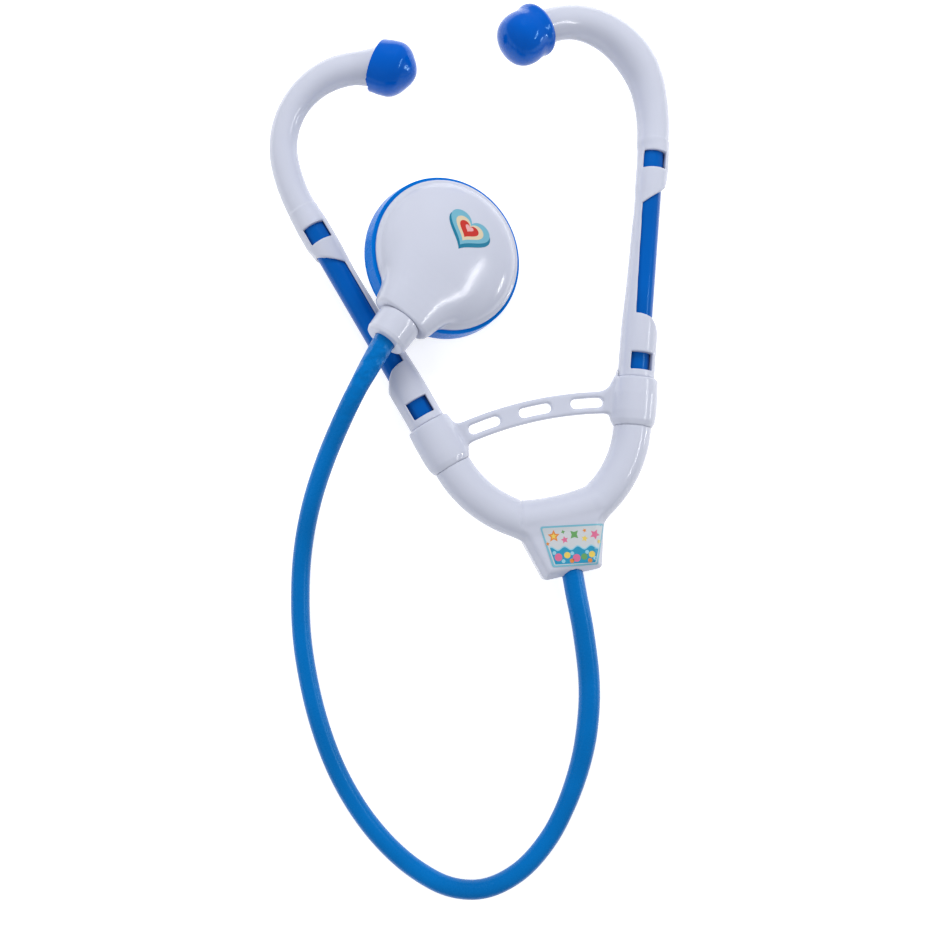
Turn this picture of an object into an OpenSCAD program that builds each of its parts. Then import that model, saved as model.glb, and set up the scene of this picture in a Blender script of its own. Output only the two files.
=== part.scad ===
// Toy stethoscope lying on a flat surface, ear tips towards +Y, hose towards -Y.
// The origin is in the middle of the flat back of the yoke's block.

/* [Headset] */
// Height of the headset's middle plane above the surface
mid_z = 6.9; // [6.9:0.1:9]
// Half distance between the ear tubes, at their lower windows
arm_x = 36; // [33:0.5:42]
// Distance from the middle of the block to the lower windows
arm_y = 52.6; // [50:0.2:58]
// Outward lean of the straight part of each ear tube, in degrees
arm_lean = 17.7; // [14:0.1:20]
// Turn of the left ear tube in its collar, in degrees
left_turn = -2; // [-10:1:20]
// Turn of the right ear tube in its collar, in degrees
right_turn = 7; // [-10:1:20]

/* [Ear tubes] */
// Radius of the white shell at the upper window
tube_r = 5.2; // [4.9:0.1:6]
// Radius of the white shell at the lower window
sleeve_r = 5.9; // [5.4:0.1:6.4]
// Radius of the thin spine beside the cut-out
spine_r = 4.7; // [4.5:0.1:5]
// Distance between the two windows
window_pitch = 64.8; // [63:0.2:66]
// Distance from the upper window to the start of the hook
hook_start = 9.7; // [8:0.1:14]
// Side of the square windows
window_w = 7.1; // [4:0.1:7.4]
// Height of a window along the tube
window_h = 5.5; // [4:0.1:6.5]
// How much higher the upper window is on one face of the tube than on the other
window_rise = 2.6; // [0:0.2:3]
// Radius of the first, gentle bend of the hook
bend_1_r = 52; // [40:1:70]
// Angle of the first bend, in degrees
bend_1_a = 19; // [10:1:26]
// Radius of the second, tight bend of the hook
bend_2_r = 25; // [20:0.5:32]
// Angle of the second bend, in degrees
bend_2_a = 100; // [80:1:115]
// Straight length at the end of the left hook
left_end_l = 7.2; // [4:0.2:12]
// Straight length at the end of the right hook
right_end_l = 5.6; // [4:0.2:12]
// Forward lean of the hook from the plane of the windows, in degrees
hook_lean = 10; // [0:1:20]
// Inside radius of the hollow hook
hook_bore_r = 2.8; // [2:0.1:3.2]
// Outside radius of the blue tube
liner_r = 3.9; // [3.6:0.05:4.1]
// Inside radius of the blue tube
liner_bore_r = 2.4; // [1.5:0.1:3]
// Distance from the tube's axis to the edge of the cut-out
notch_x = 3; // [2:0.1:3.4]
// Distance from the lower window to the cut-out, on its inner edge
notch_start = 15.6; // [13:0.2:20]
// Distance from the upper window to the cut-out, on its inner edge
notch_end = 12.2; // [11:0.2:20]

/* [Ear tips] */
// Widest radius of an ear tip
tip_r = 8.6; // [7.5:0.1:9.5]
// Length of an ear tip
tip_l = 14.4; // [11:0.2:16]
// Radius of the stub that the ear tip is pressed on
stub_r = 3.9; // [3.5:0.1:4.2]
// Length of the stub
stub_l = 7; // [5:0.5:8]

// Tilt of the left ear tip on its stub, in degrees
left_tip_tilt = 20; // [0:1:20]
// Tilt of the right ear tip on its stub, in degrees
right_tip_tilt = 12; // [0:1:20]

/* [Bridge] */
// Outside radius of a collar
collar_r = 6.9; // [6.4:0.1:7.4]
// Length of a collar
collar_l = 15.6; // [13:0.2:17]
// Distance from the lower window down to the collar's mouth
collar_drop = 5.2; // [4:0.2:7]
// Height of the arch of the strap
strap_rise = 4.4; // [2:0.2:8]
// Width of the strap
strap_w = 7; // [5.5:0.1:8]
// Thickness of the strap
strap_t = 3; // [2:0.1:4]
// Length of a slot in the strap
slot_l = 10.6; // [8:0.1:12]
// Width of a slot in the strap
slot_w = 3.2; // [2:0.1:4]

/* [Yoke] */
// Outside radius of the yoke's tube
yoke_r = 6; // [5.4:0.1:6.4]
// Inside radius of the yoke's tube
yoke_bore_r = 4.2; // [3:0.1:4.4]
// Half length of the yoke's middle stretch
yoke_mid_x = 12.4; // [11:0.2:14]
// Turn of each limb between its collar and the middle stretch, in degrees
limb_turn = 43.3; // [40:0.1:47]
// Sag of the middle stretch
yoke_sag = 1.1; // [0.6:0.1:2]
// Distance from the middle of the block to its lower end
block_low = 8.8; // [8:0.1:11]
// Half width of the block at its lower end
block_low_w = 9.2; // [8.6:0.1:10]
// Half width of the block where it meets the tube
block_top_w = 14.1; // [12.6:0.1:15]
// Depth of the block in front of the middle plane
block_front = 4.9; // [4.5:0.1:5.5]
// Slope of the block's sides towards its front
block_slope = 2.3; // [1:0.1:3]
// Rounding of the block's corners
block_corner_r = 1.6; // [1:0.1:2]
// Half width of the label's upper edge
label_top_w = 9.8; // [8:0.1:10]
// Half width of the label's lower edge
label_low_w = 7; // [6:0.1:7.4]
// Height of the label
label_h = 12; // [9:0.2:12.2]
// Turn of the label, which was stuck on crooked, in degrees
label_turn = -6; // [-9:0.5:9]
// Thickness of the label
label_t = 0.15; // [0.1:0.05:0.3]

/* [Hose] */
// Outside diameter of the hose
hose_d = 6.8; // [6:0.1:7.2]
// Depth to which each end of the hose is pushed in
hose_seat = 9; // [6:0.5:9]

/* [Chest piece] */
// Widest radius of the blue cup
cup_r = 25.5; // [23:0.1:27]
// Height of the blue cup
cup_h = 7.5; // [6.5:0.1:8.5]
// Step from the side of the cup in to the rim of the cap
cup_step = 1.8; // [1:0.1:2.2]
// Height of the white cap's dome above its rim
dome_h = 6.8; // [6:0.1:8]
// Height of the straight rim of the cap
rim_h = 1.5; // [1:0.1:2]
// Wall thickness of the cap and the cup
wall = 1.8; // [1.4:0.1:2.2]
// Thickness of the diaphragm
diaphragm_t = 0.6; // [0.4:0.1:1]
// Height of the stem's axis above the foot of the cup
stem_h = 9; // [8:0.1:10]
// Distance from the side of the cup to the end of the neck
neck_past = 1.9; // [1:0.1:4]
// Half width of the neck at its end
neck_w = 9.3; // [8:0.1:10]
// Half height of the neck at its end
neck_h = 7; // [6.4:0.1:7.4]
// Radius of the neck sleeve
neck_sleeve_r = 7; // [6:0.1:7.4]
// Length of the neck sleeve outside the neck
neck_sleeve_l = 8.4; // [7:0.2:11]
// Size of the heart
heart_w = 11.5; // [8:0.5:14]
// Thickness of the heart
heart_t = 0.3; // [0.2:0.05:0.6]

/* [Hidden] */
white = [0.80, 0.81, 0.87];
blue = [0.02, 0.36, 0.74];
$fn = 72;

// Clearances, overrun of cuts, and overlap of joined shapes
running = 0.08;
seat = 0.05;
gap = 0.2;
cut = 1;
bury = 0.5;

// Steps along swept shapes
limb_steps = 10;
mid_steps = 7;
bend_1_steps = 6;
bend_2_steps = 18;
half_sides = 16;
bore_sides = 8;
hose_sides = 10;
hose_steps = 3;

// Positions along an ear tube are measured from its lower window
collar_top = -collar_drop;
collar_end = collar_top - collar_l;
liner_low = collar_top - collar_l / 2;
liner_high = window_pitch + window_h + gap;
sleeve_low = collar_top + gap;
shank_l = window_pitch + hook_start;
notch_low = notch_start;
notch_high = window_pitch - notch_end;
cap_r = cup_r - cup_step;
neck_end = cup_r + neck_past;

// Places in the plane of the headset, on the right-hand side
function along(s) = [arm_x + s * sin(arm_lean), arm_y + s * cos(arm_lean)];
limb_start = along(collar_end);
limb_end_a = arm_lean + limb_turn;
limb_r = (limb_start[0] - yoke_mid_x) / (cos(arm_lean) - cos(limb_end_a));
limb_c = [limb_start[0] - limb_r * cos(arm_lean), limb_start[1] + limb_r * sin(arm_lean)];
yoke_y = limb_c[1] - limb_r * sin(limb_end_a);
mid_r = (yoke_mid_x * yoke_mid_x + yoke_sag * yoke_sag) / (2 * yoke_sag);
collar_c = along(collar_top - collar_l / 2);
strap_r = (collar_c[0] * collar_c[0] + strap_rise * strap_rise) / (2 * strap_rise);
strap_c_y = collar_c[1] + strap_rise - strap_r;

// Radius of each ear tube's shell along its hook, as shares of tube_r
left_swell_shares = [[0, 0.92], [0.06, 0.88], [0.24, 0.87], [0.35, 0.84], [0.54, 0.84],
    [0.66, 0.89], [0.78, 0.95], [0.9, 0.97], [1, 1.24]];
right_swell_shares = [[0, 1], [0.18, 1.03], [0.3, 1.11], [0.42, 1.2], [0.5, 1.18],
    [0.66, 1.09], [0.78, 1], [0.9, 0.99], [1, 1.05]];
// Outline of an ear tip from its base to its end: radius as a share of tip_r,
// distance as a share of tip_l
tip_outline_shares = [[0.93, 0], [0.97, 0.03], [0.965, 0.08], [0.94, 0.12],
    [0.955, 0.2], [0.985, 0.3], [1, 0.4], [0.985, 0.5], [0.94, 0.6],
    [0.86, 0.71], [0.74, 0.82], [0.58, 0.91], [0.38, 0.97], [0.18, 0.995], [0, 1]];
// Outline of the cup's side: radius as a share of cup_r, height as a share of cup_h
cup_side_shares = [[0.955, 0], [0.98, 0.04], [0.995, 0.12], [1, 0.25],
    [0.995, 0.45], [0.985, 0.7], [0.978, 1]];
// Half widths and half heights of the neck as shares of those at its end,
// with the distance as a share of neck_end
neck_shares = [[0.5, 1.36, 0.9], [0.62, 1.3, 0.97], [0.74, 1.24, 1], [0.84, 1.17, 1],
    [0.92, 1.09, 1], [1, 1, 1]];
slot_place_share = 0.527;
heart_x = -6.5;
heart_y = -0.4;
heart_turn = 95;
label_x = 0.9;
label_y = -0.4;

// Route of the hose along its middle, from the block to the neck sleeve
hose_route = [[0, 0.2, 6.9], [0, -8, 6.9], [-0.3, -15, 6.7], [-0.6, -27, 5.6], [-2, -42, 4.1],
    [-5, -54, 3.6], [-10, -66, 3.5], [-17.5, -78, 3.5], [-26, -87.5, 3.5],
    [-36.5, -94.5, 3.5], [-48, -97, 3.5], [-58.5, -94, 3.5], [-67.5, -86.5, 3.5],
    [-75, -76.5, 3.5], [-81, -64.5, 3.5], [-85.2, -51, 3.5], [-87.4, -36.5, 3.5],
    [-87.9, -21.5, 3.5], [-86.9, -7, 3.5], [-84, 8, 3.7], [-80, 20.5, 5.4],
    [-74.5, 32, 9.6], [-67.5, 43, 14.8], [-59.5, 53.6, 19.6], [-52, 62.6, 22.4]];

// Attitude of the chest piece: bearing and rise of its stem, roll about the stem
stem_bearing = 223.1;
stem_rise = 9.5;
head_roll = -16.6;
head_at = [-19.5, 98.2, 8.1];
// Where the hose enters the neck sleeve, past the end of the neck
hose_in = neck_end + neck_sleeve_l;

// Skin through a list of equal closed rings of points. The ends are closed with
// the faces in cap, or with one face each
module loft(rings, cap = []) {
    n = len(rings);
    m = len(rings[0]);
    sides = [for (i = [0:n - 2], j = [0:m - 1])
        let (a = i * m + j, b = i * m + (j + 1) % m, c = a + m, d = b + m)
        each [[a, b, c], [b, d, c]]];
    whole = len(cap) > 0 ? cap : [[for (j = [0:m - 1]) j]];
    first = [for (f = whole) [for (k = [len(f) - 1:-1:0]) f[k]]];
    last = [for (f = whole) [for (k = f) k + (n - 1) * m]];
    polyhedron(points = [for (r = rings) each r], faces = concat(sides, first, last));
}

// Half of a hollow round section: outer arc there, inner arc back
function half_ring(p, across, up, r_out, r_in) = concat(
    [for (i = [0:half_sides]) let (a = 180 * i / half_sides)
        p + r_out * cos(a) * across + r_out * sin(a) * up],
    [for (i = [bore_sides:-1:0]) let (a = 180 * i / bore_sides)
        p + r_in * cos(a) * across + r_in * sin(a) * up]);

half_cap = [for (k = [0:bore_sides - 1])
    let (step = half_sides / bore_sides, low = half_sides + bore_sides - k)
    concat([for (i = [0:step]) k * step + i], [low, low + 1])];

// Path of the hook: points, directions across it and share of its length.
// It starts along +Y and bends towards -X.
function out_dir(a) = [cos(a), sin(a), 0];
hook_a = bend_1_a + bend_2_a;
bend_2_c = [-bend_1_r, shank_l, 0] + (bend_1_r - bend_2_r) * out_dir(bend_1_a);
hook_corner = bend_2_c + bend_2_r * out_dir(hook_a);
hook_dir = [-sin(hook_a), cos(hook_a), 0];
function end_l(arm) = arm < 0 ? left_end_l : right_end_l;
function hook_tip(arm) = hook_corner + end_l(arm) * hook_dir;
function hook_path(arm) =
    let (hook_l = (bend_1_r * bend_1_a + bend_2_r * bend_2_a) * PI / 180 + end_l(arm)) concat(
    [[[0, shank_l - bury, 0], 0, 0]],
    [for (i = [1:bend_1_steps]) let (a = bend_1_a * i / bend_1_steps)
        [[-bend_1_r, shank_l, 0] + bend_1_r * out_dir(a), a, bend_1_r * a * PI / 180 / hook_l]],
    [for (i = [1:bend_2_steps]) let (a = bend_2_a * i / bend_2_steps)
        [bend_2_c + bend_2_r * out_dir(bend_1_a + a), bend_1_a + a,
            (bend_1_r * bend_1_a + bend_2_r * a) * PI / 180 / hook_l]],
    [for (i = [1:3]) [hook_corner + end_l(arm) * i / 3 * hook_dir, hook_a,
        1 - end_l(arm) * (1 - i / 3) / hook_l]]);

// Turns the front half of a two-part moulding into its back half
module on_side(side) {
    mirror([0, 0, side < 0 ? 1 : 0]) children();
}

// Puts a shape turned about Z onto the ear tube's own axis, +Y
module on_tube() {
    rotate([-90, 0, 0]) children();
}

// Front half of a turned shape
module half_turned() {
    mirror([0, 0, 1]) on_tube() rotate_extrude(angle = 180) children();
}

module hook_half(arm, swell) {
    loft([for (p = hook_path(arm)) half_ring(p[0], out_dir(p[1]), [0, 0, 1],
        tube_r * lookup(p[2], swell), hook_bore_r + seat)], half_cap);
}

module shank_profile(start) {
    polygon([[liner_r + seat, sleeve_low], [sleeve_r, sleeve_low], [sleeve_r, notch_low - 2 * wall],
        [(2 * sleeve_r + spine_r) / 3, notch_low + 2 * wall],
        [(sleeve_r + 3 * spine_r) / 4, (notch_low + notch_high) / 2],
        [spine_r, notch_high - 2 * wall], [tube_r, notch_high + 2 * wall], [tube_r, window_pitch + window_h],
        [tube_r * start + seat, shank_l],
        [hook_bore_r, shank_l], [hook_bore_r, liner_high + gap],
        [liner_r + seat, liner_high + gap]]);
}

// Cut-out that lays the blue tube open along the outer side
module notch() {
    rise = liner_r;
    translate([0, 0, -sleeve_r - cut]) linear_extrude(2 * (sleeve_r + cut))
        polygon([[-notch_x, notch_low], [notch_x / 2, notch_low - rise / 4],
            [rise, notch_low - rise * 0.75], [sleeve_r - gap, notch_low - rise * 1.5],
            [sleeve_r + cut, notch_low - rise * 1.6], [sleeve_r + cut, notch_high + rise * 2.6],
            [tube_r, notch_high + rise * 2.5], [rise, notch_high + rise * 1.3],
            [-notch_x, notch_high]]);
}

module window(s) {
    translate([-window_w / 2, s - window_h / 2, -sleeve_r - cut])
        cube([window_w, window_h, 2 * (sleeve_r + cut)]);
}

// Half of an ear tube's shell: arm is -1 left, 1 right; side is 1 front, -1 back
module ear_shell(arm, side) {
    swell = arm < 0 ? left_swell_shares : right_swell_shares;
    color(white) {
        difference() {
            rotate([0, hook_lean, 0]) on_side(side) half_turned() shank_profile(swell[0][1]);
            notch();
            window(0);
            window(window_pitch + (arm * side > 0 ? window_rise : 0));
        }
        rotate([0, hook_lean, 0]) on_side(side) {
            hook_half(arm, swell);
            translate(hook_tip(arm) - bury * hook_dir) rotate([0, 0, hook_a])
                half_turned() translate([hook_bore_r - seat, 0])
                    square([stub_r - hook_bore_r + seat, stub_l + bury]);
        }
    }
}

module inner_tube() {
    color(blue) on_tube() difference() {
        translate([0, 0, liner_low]) cylinder(r = liner_r, h = liner_high - liner_low);
        translate([0, 0, liner_low - cut])
            cylinder(r = liner_bore_r, h = liner_high - liner_low + 2 * cut);
    }
}

// Soft tip, which can be pushed on askew; its bore stays in line with the stub
module ear_tip(arm, tilt) {
    end_r = tube_r * left_swell_shares[8][1] + gap;
    color(blue) rotate([0, hook_lean, 0]) translate(hook_tip(arm)) rotate([0, 0, hook_a]) difference() {
        rotate([0, 0, tilt]) translate([0, -tip_r * sin(tilt) / 2, 0]) on_tube() rotate_extrude()
            polygon(concat([[0, 0]], [for (p = tip_outline_shares) [p[0] * tip_r, p[1] * tip_l]]));
        on_tube() cylinder(r = stub_r + seat, h = stub_l + gap);
        on_tube() translate([0, 0, -tip_r]) cylinder(r = end_r, h = tip_r + seat);
    }
}

// Places an ear tube's piece in its collar; side is -1 left, 1 right
module in_collar(side, turn) {
    mirror([side < 0 ? 1 : 0, 0, 0]) translate([arm_x, arm_y, mid_z])
        rotate([0, 0, -arm_lean]) rotate([0, turn, 0]) children();
}

module left_shell_front() { in_collar(-1, left_turn) ear_shell(-1, 1); }
module left_shell_back() { in_collar(-1, left_turn) ear_shell(-1, -1); }
module left_inner_tube() { in_collar(-1, left_turn) inner_tube(); }
module left_ear_tip() { in_collar(-1, left_turn) ear_tip(-1, left_tip_tilt); }
module right_shell_front() { in_collar(1, right_turn) ear_shell(1, 1); }
module right_shell_back() { in_collar(1, right_turn) ear_shell(1, -1); }
module right_inner_tube() { in_collar(1, right_turn) inner_tube(); }
module right_ear_tip() { in_collar(1, right_turn) ear_tip(1, right_tip_tilt); }

// Collar round the ear tube's axis, with a sloping lower end
module collar_profile() {
    slope = collar_r - yoke_r;
    polygon([[0, collar_end], [yoke_r + seat, collar_end], [collar_r - slope / 3, collar_end + 2 * slope],
        [collar_r, collar_end + 4 * slope], [collar_r, collar_top - slope],
        [collar_r - slope / 3, collar_top], [0, collar_top]]);
}

module strap_outline() {
    fillet = collar_r;
    end_a = asin(collar_c[0] / strap_r);
    offset(r = -fillet) offset(delta = fillet) {
        translate([0, strap_c_y]) intersection() {
            difference() {
                circle(r = strap_r + strap_w / 2, $fn = 360);
                circle(r = strap_r - strap_w / 2, $fn = 360);
            }
            polygon([[0, 0], 2 * strap_r * [-sin(end_a), cos(end_a)],
                2 * strap_r * [sin(end_a), cos(end_a)]]);
        }
        for (side = [0, 1]) mirror([side, 0]) translate([arm_x, arm_y]) rotate(-arm_lean)
            translate([-collar_r * 0.9, collar_end + collar_l * 0.2])
                square([collar_r, collar_l * 0.8 + collar_drop * 0.6]);
    }
}

module bridge() {
    slot_turn = asin(slot_place_share * collar_c[0] / strap_r);
    half_slot = (slot_l - slot_w) / 2;
    color(white) difference() {
        union() {
            translate([0, 0, mid_z - strap_t / 2]) linear_extrude(strap_t) difference() {
                strap_outline();
                for (a = [-slot_turn, 0, slot_turn]) translate([0, strap_c_y]) rotate(-a)
                    translate([0, strap_r]) hull() for (x = [-half_slot, half_slot])
                        translate([x, 0]) circle(d = slot_w, $fn = 24);
                for (side = [0, 1]) mirror([side, 0]) translate([arm_x, arm_y]) rotate(-arm_lean)
                    translate([-sleeve_r - gap, collar_top - gap]) square([2 * collar_r, collar_l]);
            }
            for (side = [0, 1]) mirror([side, 0, 0]) translate([arm_x, arm_y, mid_z])
                rotate([0, 0, -arm_lean]) on_tube() rotate_extrude() collar_profile();
        }
        for (side = [0, 1]) mirror([side, 0, 0]) translate([arm_x, arm_y, mid_z])
            rotate([0, 0, -arm_lean]) on_tube() translate([0, 0, collar_end - cut])
                cylinder(r = liner_r + running, h = collar_l + 2 * cut);
    }
}

// Path of the yoke's tube from the left collar to the right one
function limb_point(side, a) =
    [side * (limb_c[0] + limb_r * cos(a)), limb_c[1] - limb_r * sin(a), 0];
mid_a = asin(yoke_mid_x / mid_r);
crease = (90 - limb_end_a - mid_a) / 2;
function mid_ring(i) =
    let (a = mid_a * (2 * i / mid_steps - 1), at_crease = i == 0 || i == mid_steps,
        lean = at_crease ? sign(a) * (mid_a + crease) : a)
    [[mid_r * sin(a), yoke_y + mid_r * (cos(mid_a) - cos(a)), 0],
        [sin(lean), -cos(lean), 0] / (at_crease ? cos(crease) : 1)];
yoke_path = concat(
    [for (i = [0:limb_steps - 1]) let (a = arm_lean + limb_turn * i / limb_steps)
        [limb_point(-1, a), [-cos(a), -sin(a), 0]]],
    [for (i = [0:mid_steps]) mid_ring(i)],
    [for (i = [limb_steps - 1:-1:0]) let (a = arm_lean + limb_turn * i / limb_steps)
        [limb_point(1, a), [cos(a), -sin(a), 0]]]);

module yoke_half(side) {
    color(white) translate([0, 0, mid_z]) on_side(side) difference() {
        union() {
            loft([for (p = yoke_path) half_ring(p[0], p[1], [0, 0, 1], yoke_r, yoke_bore_r)],
                half_cap);
            yoke_stubs();
            if (side > 0) block(block_front, block_slope, block_slope / 2);
            else block(mid_z, block_slope / 4, block_slope / 4);
        }
        translate([0, -block_low - cut, 0]) on_tube()
            cylinder(r = hose_d / 2 + seat, h = hose_seat + cut);
        on_tube() cylinder(r = liner_bore_r, h = yoke_y - yoke_sag);
    }
}

// Ends of the yoke's tube that stand inside the collars
module yoke_stubs() {
    stub_out_r = liner_r + running - seat;
    base_r = (yoke_r + yoke_bore_r) / 2;
    for (m = [0, 1]) mirror([m, 0, 0]) translate([arm_x, arm_y, 0]) rotate([0, 0, -arm_lean])
        half_turned() polygon([[liner_bore_r, collar_end - wall], [base_r, collar_end - wall],
            [base_r, collar_end - gap], [stub_out_r, collar_end - gap],
            [stub_out_r, liner_low - gap], [liner_bore_r, liner_low - gap]]);
}

block_top = yoke_y - yoke_sag - sqrt(yoke_r * yoke_r - block_front * block_front);

module block_outline(in, in_low) {
    offset(r = block_corner_r) offset(delta = -block_corner_r) polygon([
        [-block_low_w + in, -block_low + in_low], [block_low_w - in, -block_low + in_low],
        [block_top_w - in, block_top], [-block_top_w + in, block_top]]);
}

// Block of the yoke, with sides that slope in towards its face
module block(depth, in, in_low) {
    hull() {
        linear_extrude(depth / 3) block_outline(0, 0);
        linear_extrude(depth) block_outline(in, in_low);
    }
}

module yoke_front() { yoke_half(1); }
module yoke_back() { yoke_half(-1); }

module yoke_label() {
    color([0.93, 0.95, 0.97]) translate([label_x, label_y, mid_z + block_front])
        rotate([0, 0, label_turn]) linear_extrude(label_t)
            polygon([[-label_low_w, -label_h / 2], [label_low_w, -label_h / 2],
                [label_top_w, label_h / 2], [-label_top_w, label_h / 2]]);
}

// Smooth curve through the hose's route, as points
function curve(a, b, c, d, t) = 0.5 * (2 * b + t * (c - a) + t * t * (2 * a - 5 * b + 4 * c - d)
    + t * t * t * (3 * b - a - 3 * c + d));
function head_point(p) =
    let (u = stem_bearing, v = stem_rise, w = head_roll,
        q = [p[0], p[1] * cos(w) - p[2] * sin(w), p[1] * sin(w) + p[2] * cos(w)],
        r = [q[0] * cos(v) - q[2] * sin(v), q[1], q[0] * sin(v) + q[2] * cos(v)])
    head_at + [r[0] * cos(u) - r[1] * sin(u), r[0] * sin(u) + r[1] * cos(u), r[2]];
hose_whole = concat(hose_route,
    [for (s = [hose_seat + running, hose_seat / 2, 0]) head_point([hose_in - hose_seat + s, 0, stem_h])]);
hose_last = len(hose_whole) - 1;
hose_line = concat(
    [for (i = [0:hose_last - 1], k = [0:hose_steps - 1])
        curve(hose_whole[max(i - 1, 0)], hose_whole[i], hose_whole[i + 1],
            hose_whole[min(i + 2, hose_last)], k / hose_steps)],
    [hose_whole[hose_last]]);

function unit(v) = v / norm(v);

module hose() {
    n = len(hose_line) - 1;
    color(blue) loft([for (i = [0:n])
        let (t = unit(hose_line[min(i + 1, n)] - hose_line[max(i - 1, 0)]),
            across = unit(cross(t, [0, 0, 1])), up = cross(across, t))
        [for (j = [0:hose_sides - 1]) let (a = 360 * j / hose_sides)
            hose_line[i] + hose_d / 2 * (cos(a) * across + sin(a) * up)]]);
}

// Puts a shape in the chest piece's place; its own X runs out along the stem
module in_head() {
    translate(head_at) rotate([0, 0, stem_bearing]) rotate([0, -stem_rise, 0])
        rotate([head_roll, 0, 0]) children();
}

// Puts a shape turned about Z onto the stem's axis
module on_stem() {
    translate([0, 0, stem_h]) rotate([0, 90, 0]) children();
}

spigot_r = stub_r + seat;
spigot_l = neck_past - gap;

module neck_sleeve() {
    color(white) in_head() on_stem() rotate_extrude() polygon([
        [hose_d / 2 + seat, hose_in], [neck_sleeve_r * 0.92, hose_in],
        [neck_sleeve_r, neck_end + wall], [neck_sleeve_r, neck_end + gap], [spigot_r, neck_end + gap],
        [spigot_r, neck_end - spigot_l], [liner_bore_r, neck_end - spigot_l],
        [liner_bore_r, hose_in - hose_seat - gap], [hose_d / 2 + seat, hose_in - hose_seat - gap]]);
}

module dome_profile(in) {
    polygon(concat([[0, cup_h], [cap_r - in, cup_h]],
        [for (t = [0:6:84]) [(cap_r - in) * cos(t), cup_h + rim_h + (dome_h - in) * sin(t)]],
        [[0, cup_h + rim_h + dome_h - in]]));
}

module neck_solid() {
    loft([for (p = neck_shares) [for (j = [0:23]) let (a = 15 * j)
        [p[0] * neck_end, p[1] * neck_w * cos(a), stem_h - p[2] * neck_h * sin(a)]]]);
}

module chest_cap() {
    color(white) in_head() difference() {
        union() {
            rotate_extrude() dome_profile(0);
            neck_solid();
        }
        translate([0, 0, -cut]) cylinder(r = cup_r + gap, h = cup_h + cut);
        rotate_extrude() dome_profile(wall);
        on_stem() cylinder(r = spigot_r + running, h = neck_end + cut);
    }
}

module chest_cup() {
    foot = cup_r - 2 * wall;
    color(blue) in_head() rotate_extrude() polygon(concat(
        [for (p = cup_side_shares) [p[0] * cup_r, p[1] * cup_h]],
        [[cap_r - wall - seat, cup_h], [cap_r - wall - seat, cup_h + rim_h],
            [cap_r - 2 * wall, cup_h + rim_h], [cap_r - 2 * wall, cup_h / 2 + wall],
            [foot - wall, cup_h / 2], [foot - wall, 2 * diaphragm_t + gap],
            [foot, 2 * diaphragm_t + gap], [foot, 0]]));
}

module diaphragm() {
    color([0.9, 0.91, 0.94]) in_head() translate([0, 0, diaphragm_t])
        cylinder(r = cup_r - 2 * wall - seat, h = diaphragm_t);
}

module heart_outline(w) {
    lobe = w / 4;
    for (side = [-1, 1]) hull() {
        translate([side * lobe * 0.95, lobe * 0.8]) circle(r = lobe * 1.05, $fn = 32);
        translate([0, -w * 0.42]) circle(r = lobe / 5, $fn = 32);
    }
}

// The heart is a thin skin that follows the dome
module heart_sticker() {
    color([0.1, 0.6, 0.72]) in_head() intersection() {
        difference() {
            rotate_extrude() dome_profile(-heart_t);
            rotate_extrude() dome_profile(-running / 2);
        }
        translate([heart_x, heart_y, cup_h + rim_h]) rotate([0, 0, heart_turn])
            linear_extrude(2 * dome_h) heart_outline(heart_w);
    }
}

yoke_front();
yoke_back();
bridge();
left_shell_front();
left_shell_back();
left_inner_tube();
left_ear_tip();
right_shell_front();
right_shell_back();
right_inner_tube();
right_ear_tip();
hose();
neck_sleeve();
chest_cap();
chest_cup();
diaphragm();
heart_sticker();
yoke_label();
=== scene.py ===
"""Toy stethoscope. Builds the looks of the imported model, with its stage and camera."""

import math

import bmesh
import bpy
import numpy as np
from mathutils import Matrix, Vector


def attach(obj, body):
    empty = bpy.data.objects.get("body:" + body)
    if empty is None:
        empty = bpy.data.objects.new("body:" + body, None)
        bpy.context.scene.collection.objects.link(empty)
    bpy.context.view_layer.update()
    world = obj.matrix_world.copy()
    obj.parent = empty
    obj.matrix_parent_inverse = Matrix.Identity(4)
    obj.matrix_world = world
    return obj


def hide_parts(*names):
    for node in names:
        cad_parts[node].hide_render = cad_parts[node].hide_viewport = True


bl_info = {
    "name": "Toy Stethoscope",
    "version": (1, 0, 0),
    "blender": (4, 5, 0),
    "location": "3D Viewport > Sidebar > Stethoscope",
    "description": "Builds the pieces, finishes and stage of a toy stethoscope",
    "category": "Object",
}

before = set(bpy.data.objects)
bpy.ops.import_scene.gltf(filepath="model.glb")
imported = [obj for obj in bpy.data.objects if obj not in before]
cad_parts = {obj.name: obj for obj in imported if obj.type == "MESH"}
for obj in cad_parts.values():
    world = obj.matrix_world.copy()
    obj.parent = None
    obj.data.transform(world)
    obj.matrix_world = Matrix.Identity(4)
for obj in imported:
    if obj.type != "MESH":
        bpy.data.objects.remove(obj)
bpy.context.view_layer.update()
MM = 0.001


# Sizes and colours


def metres(name, text, value, **more):
    return bpy.props.FloatProperty(name=name, description=text, default=value, unit="LENGTH", **more)


def degrees(name, text, value):
    return bpy.props.FloatProperty(
        name=name, description=text, default=math.radians(value), subtype="ANGLE")


def rgb(name, text, value):
    return bpy.props.FloatVectorProperty(
        name=name, description=text, default=value, size=3, subtype="COLOR", min=0, max=1)


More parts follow.
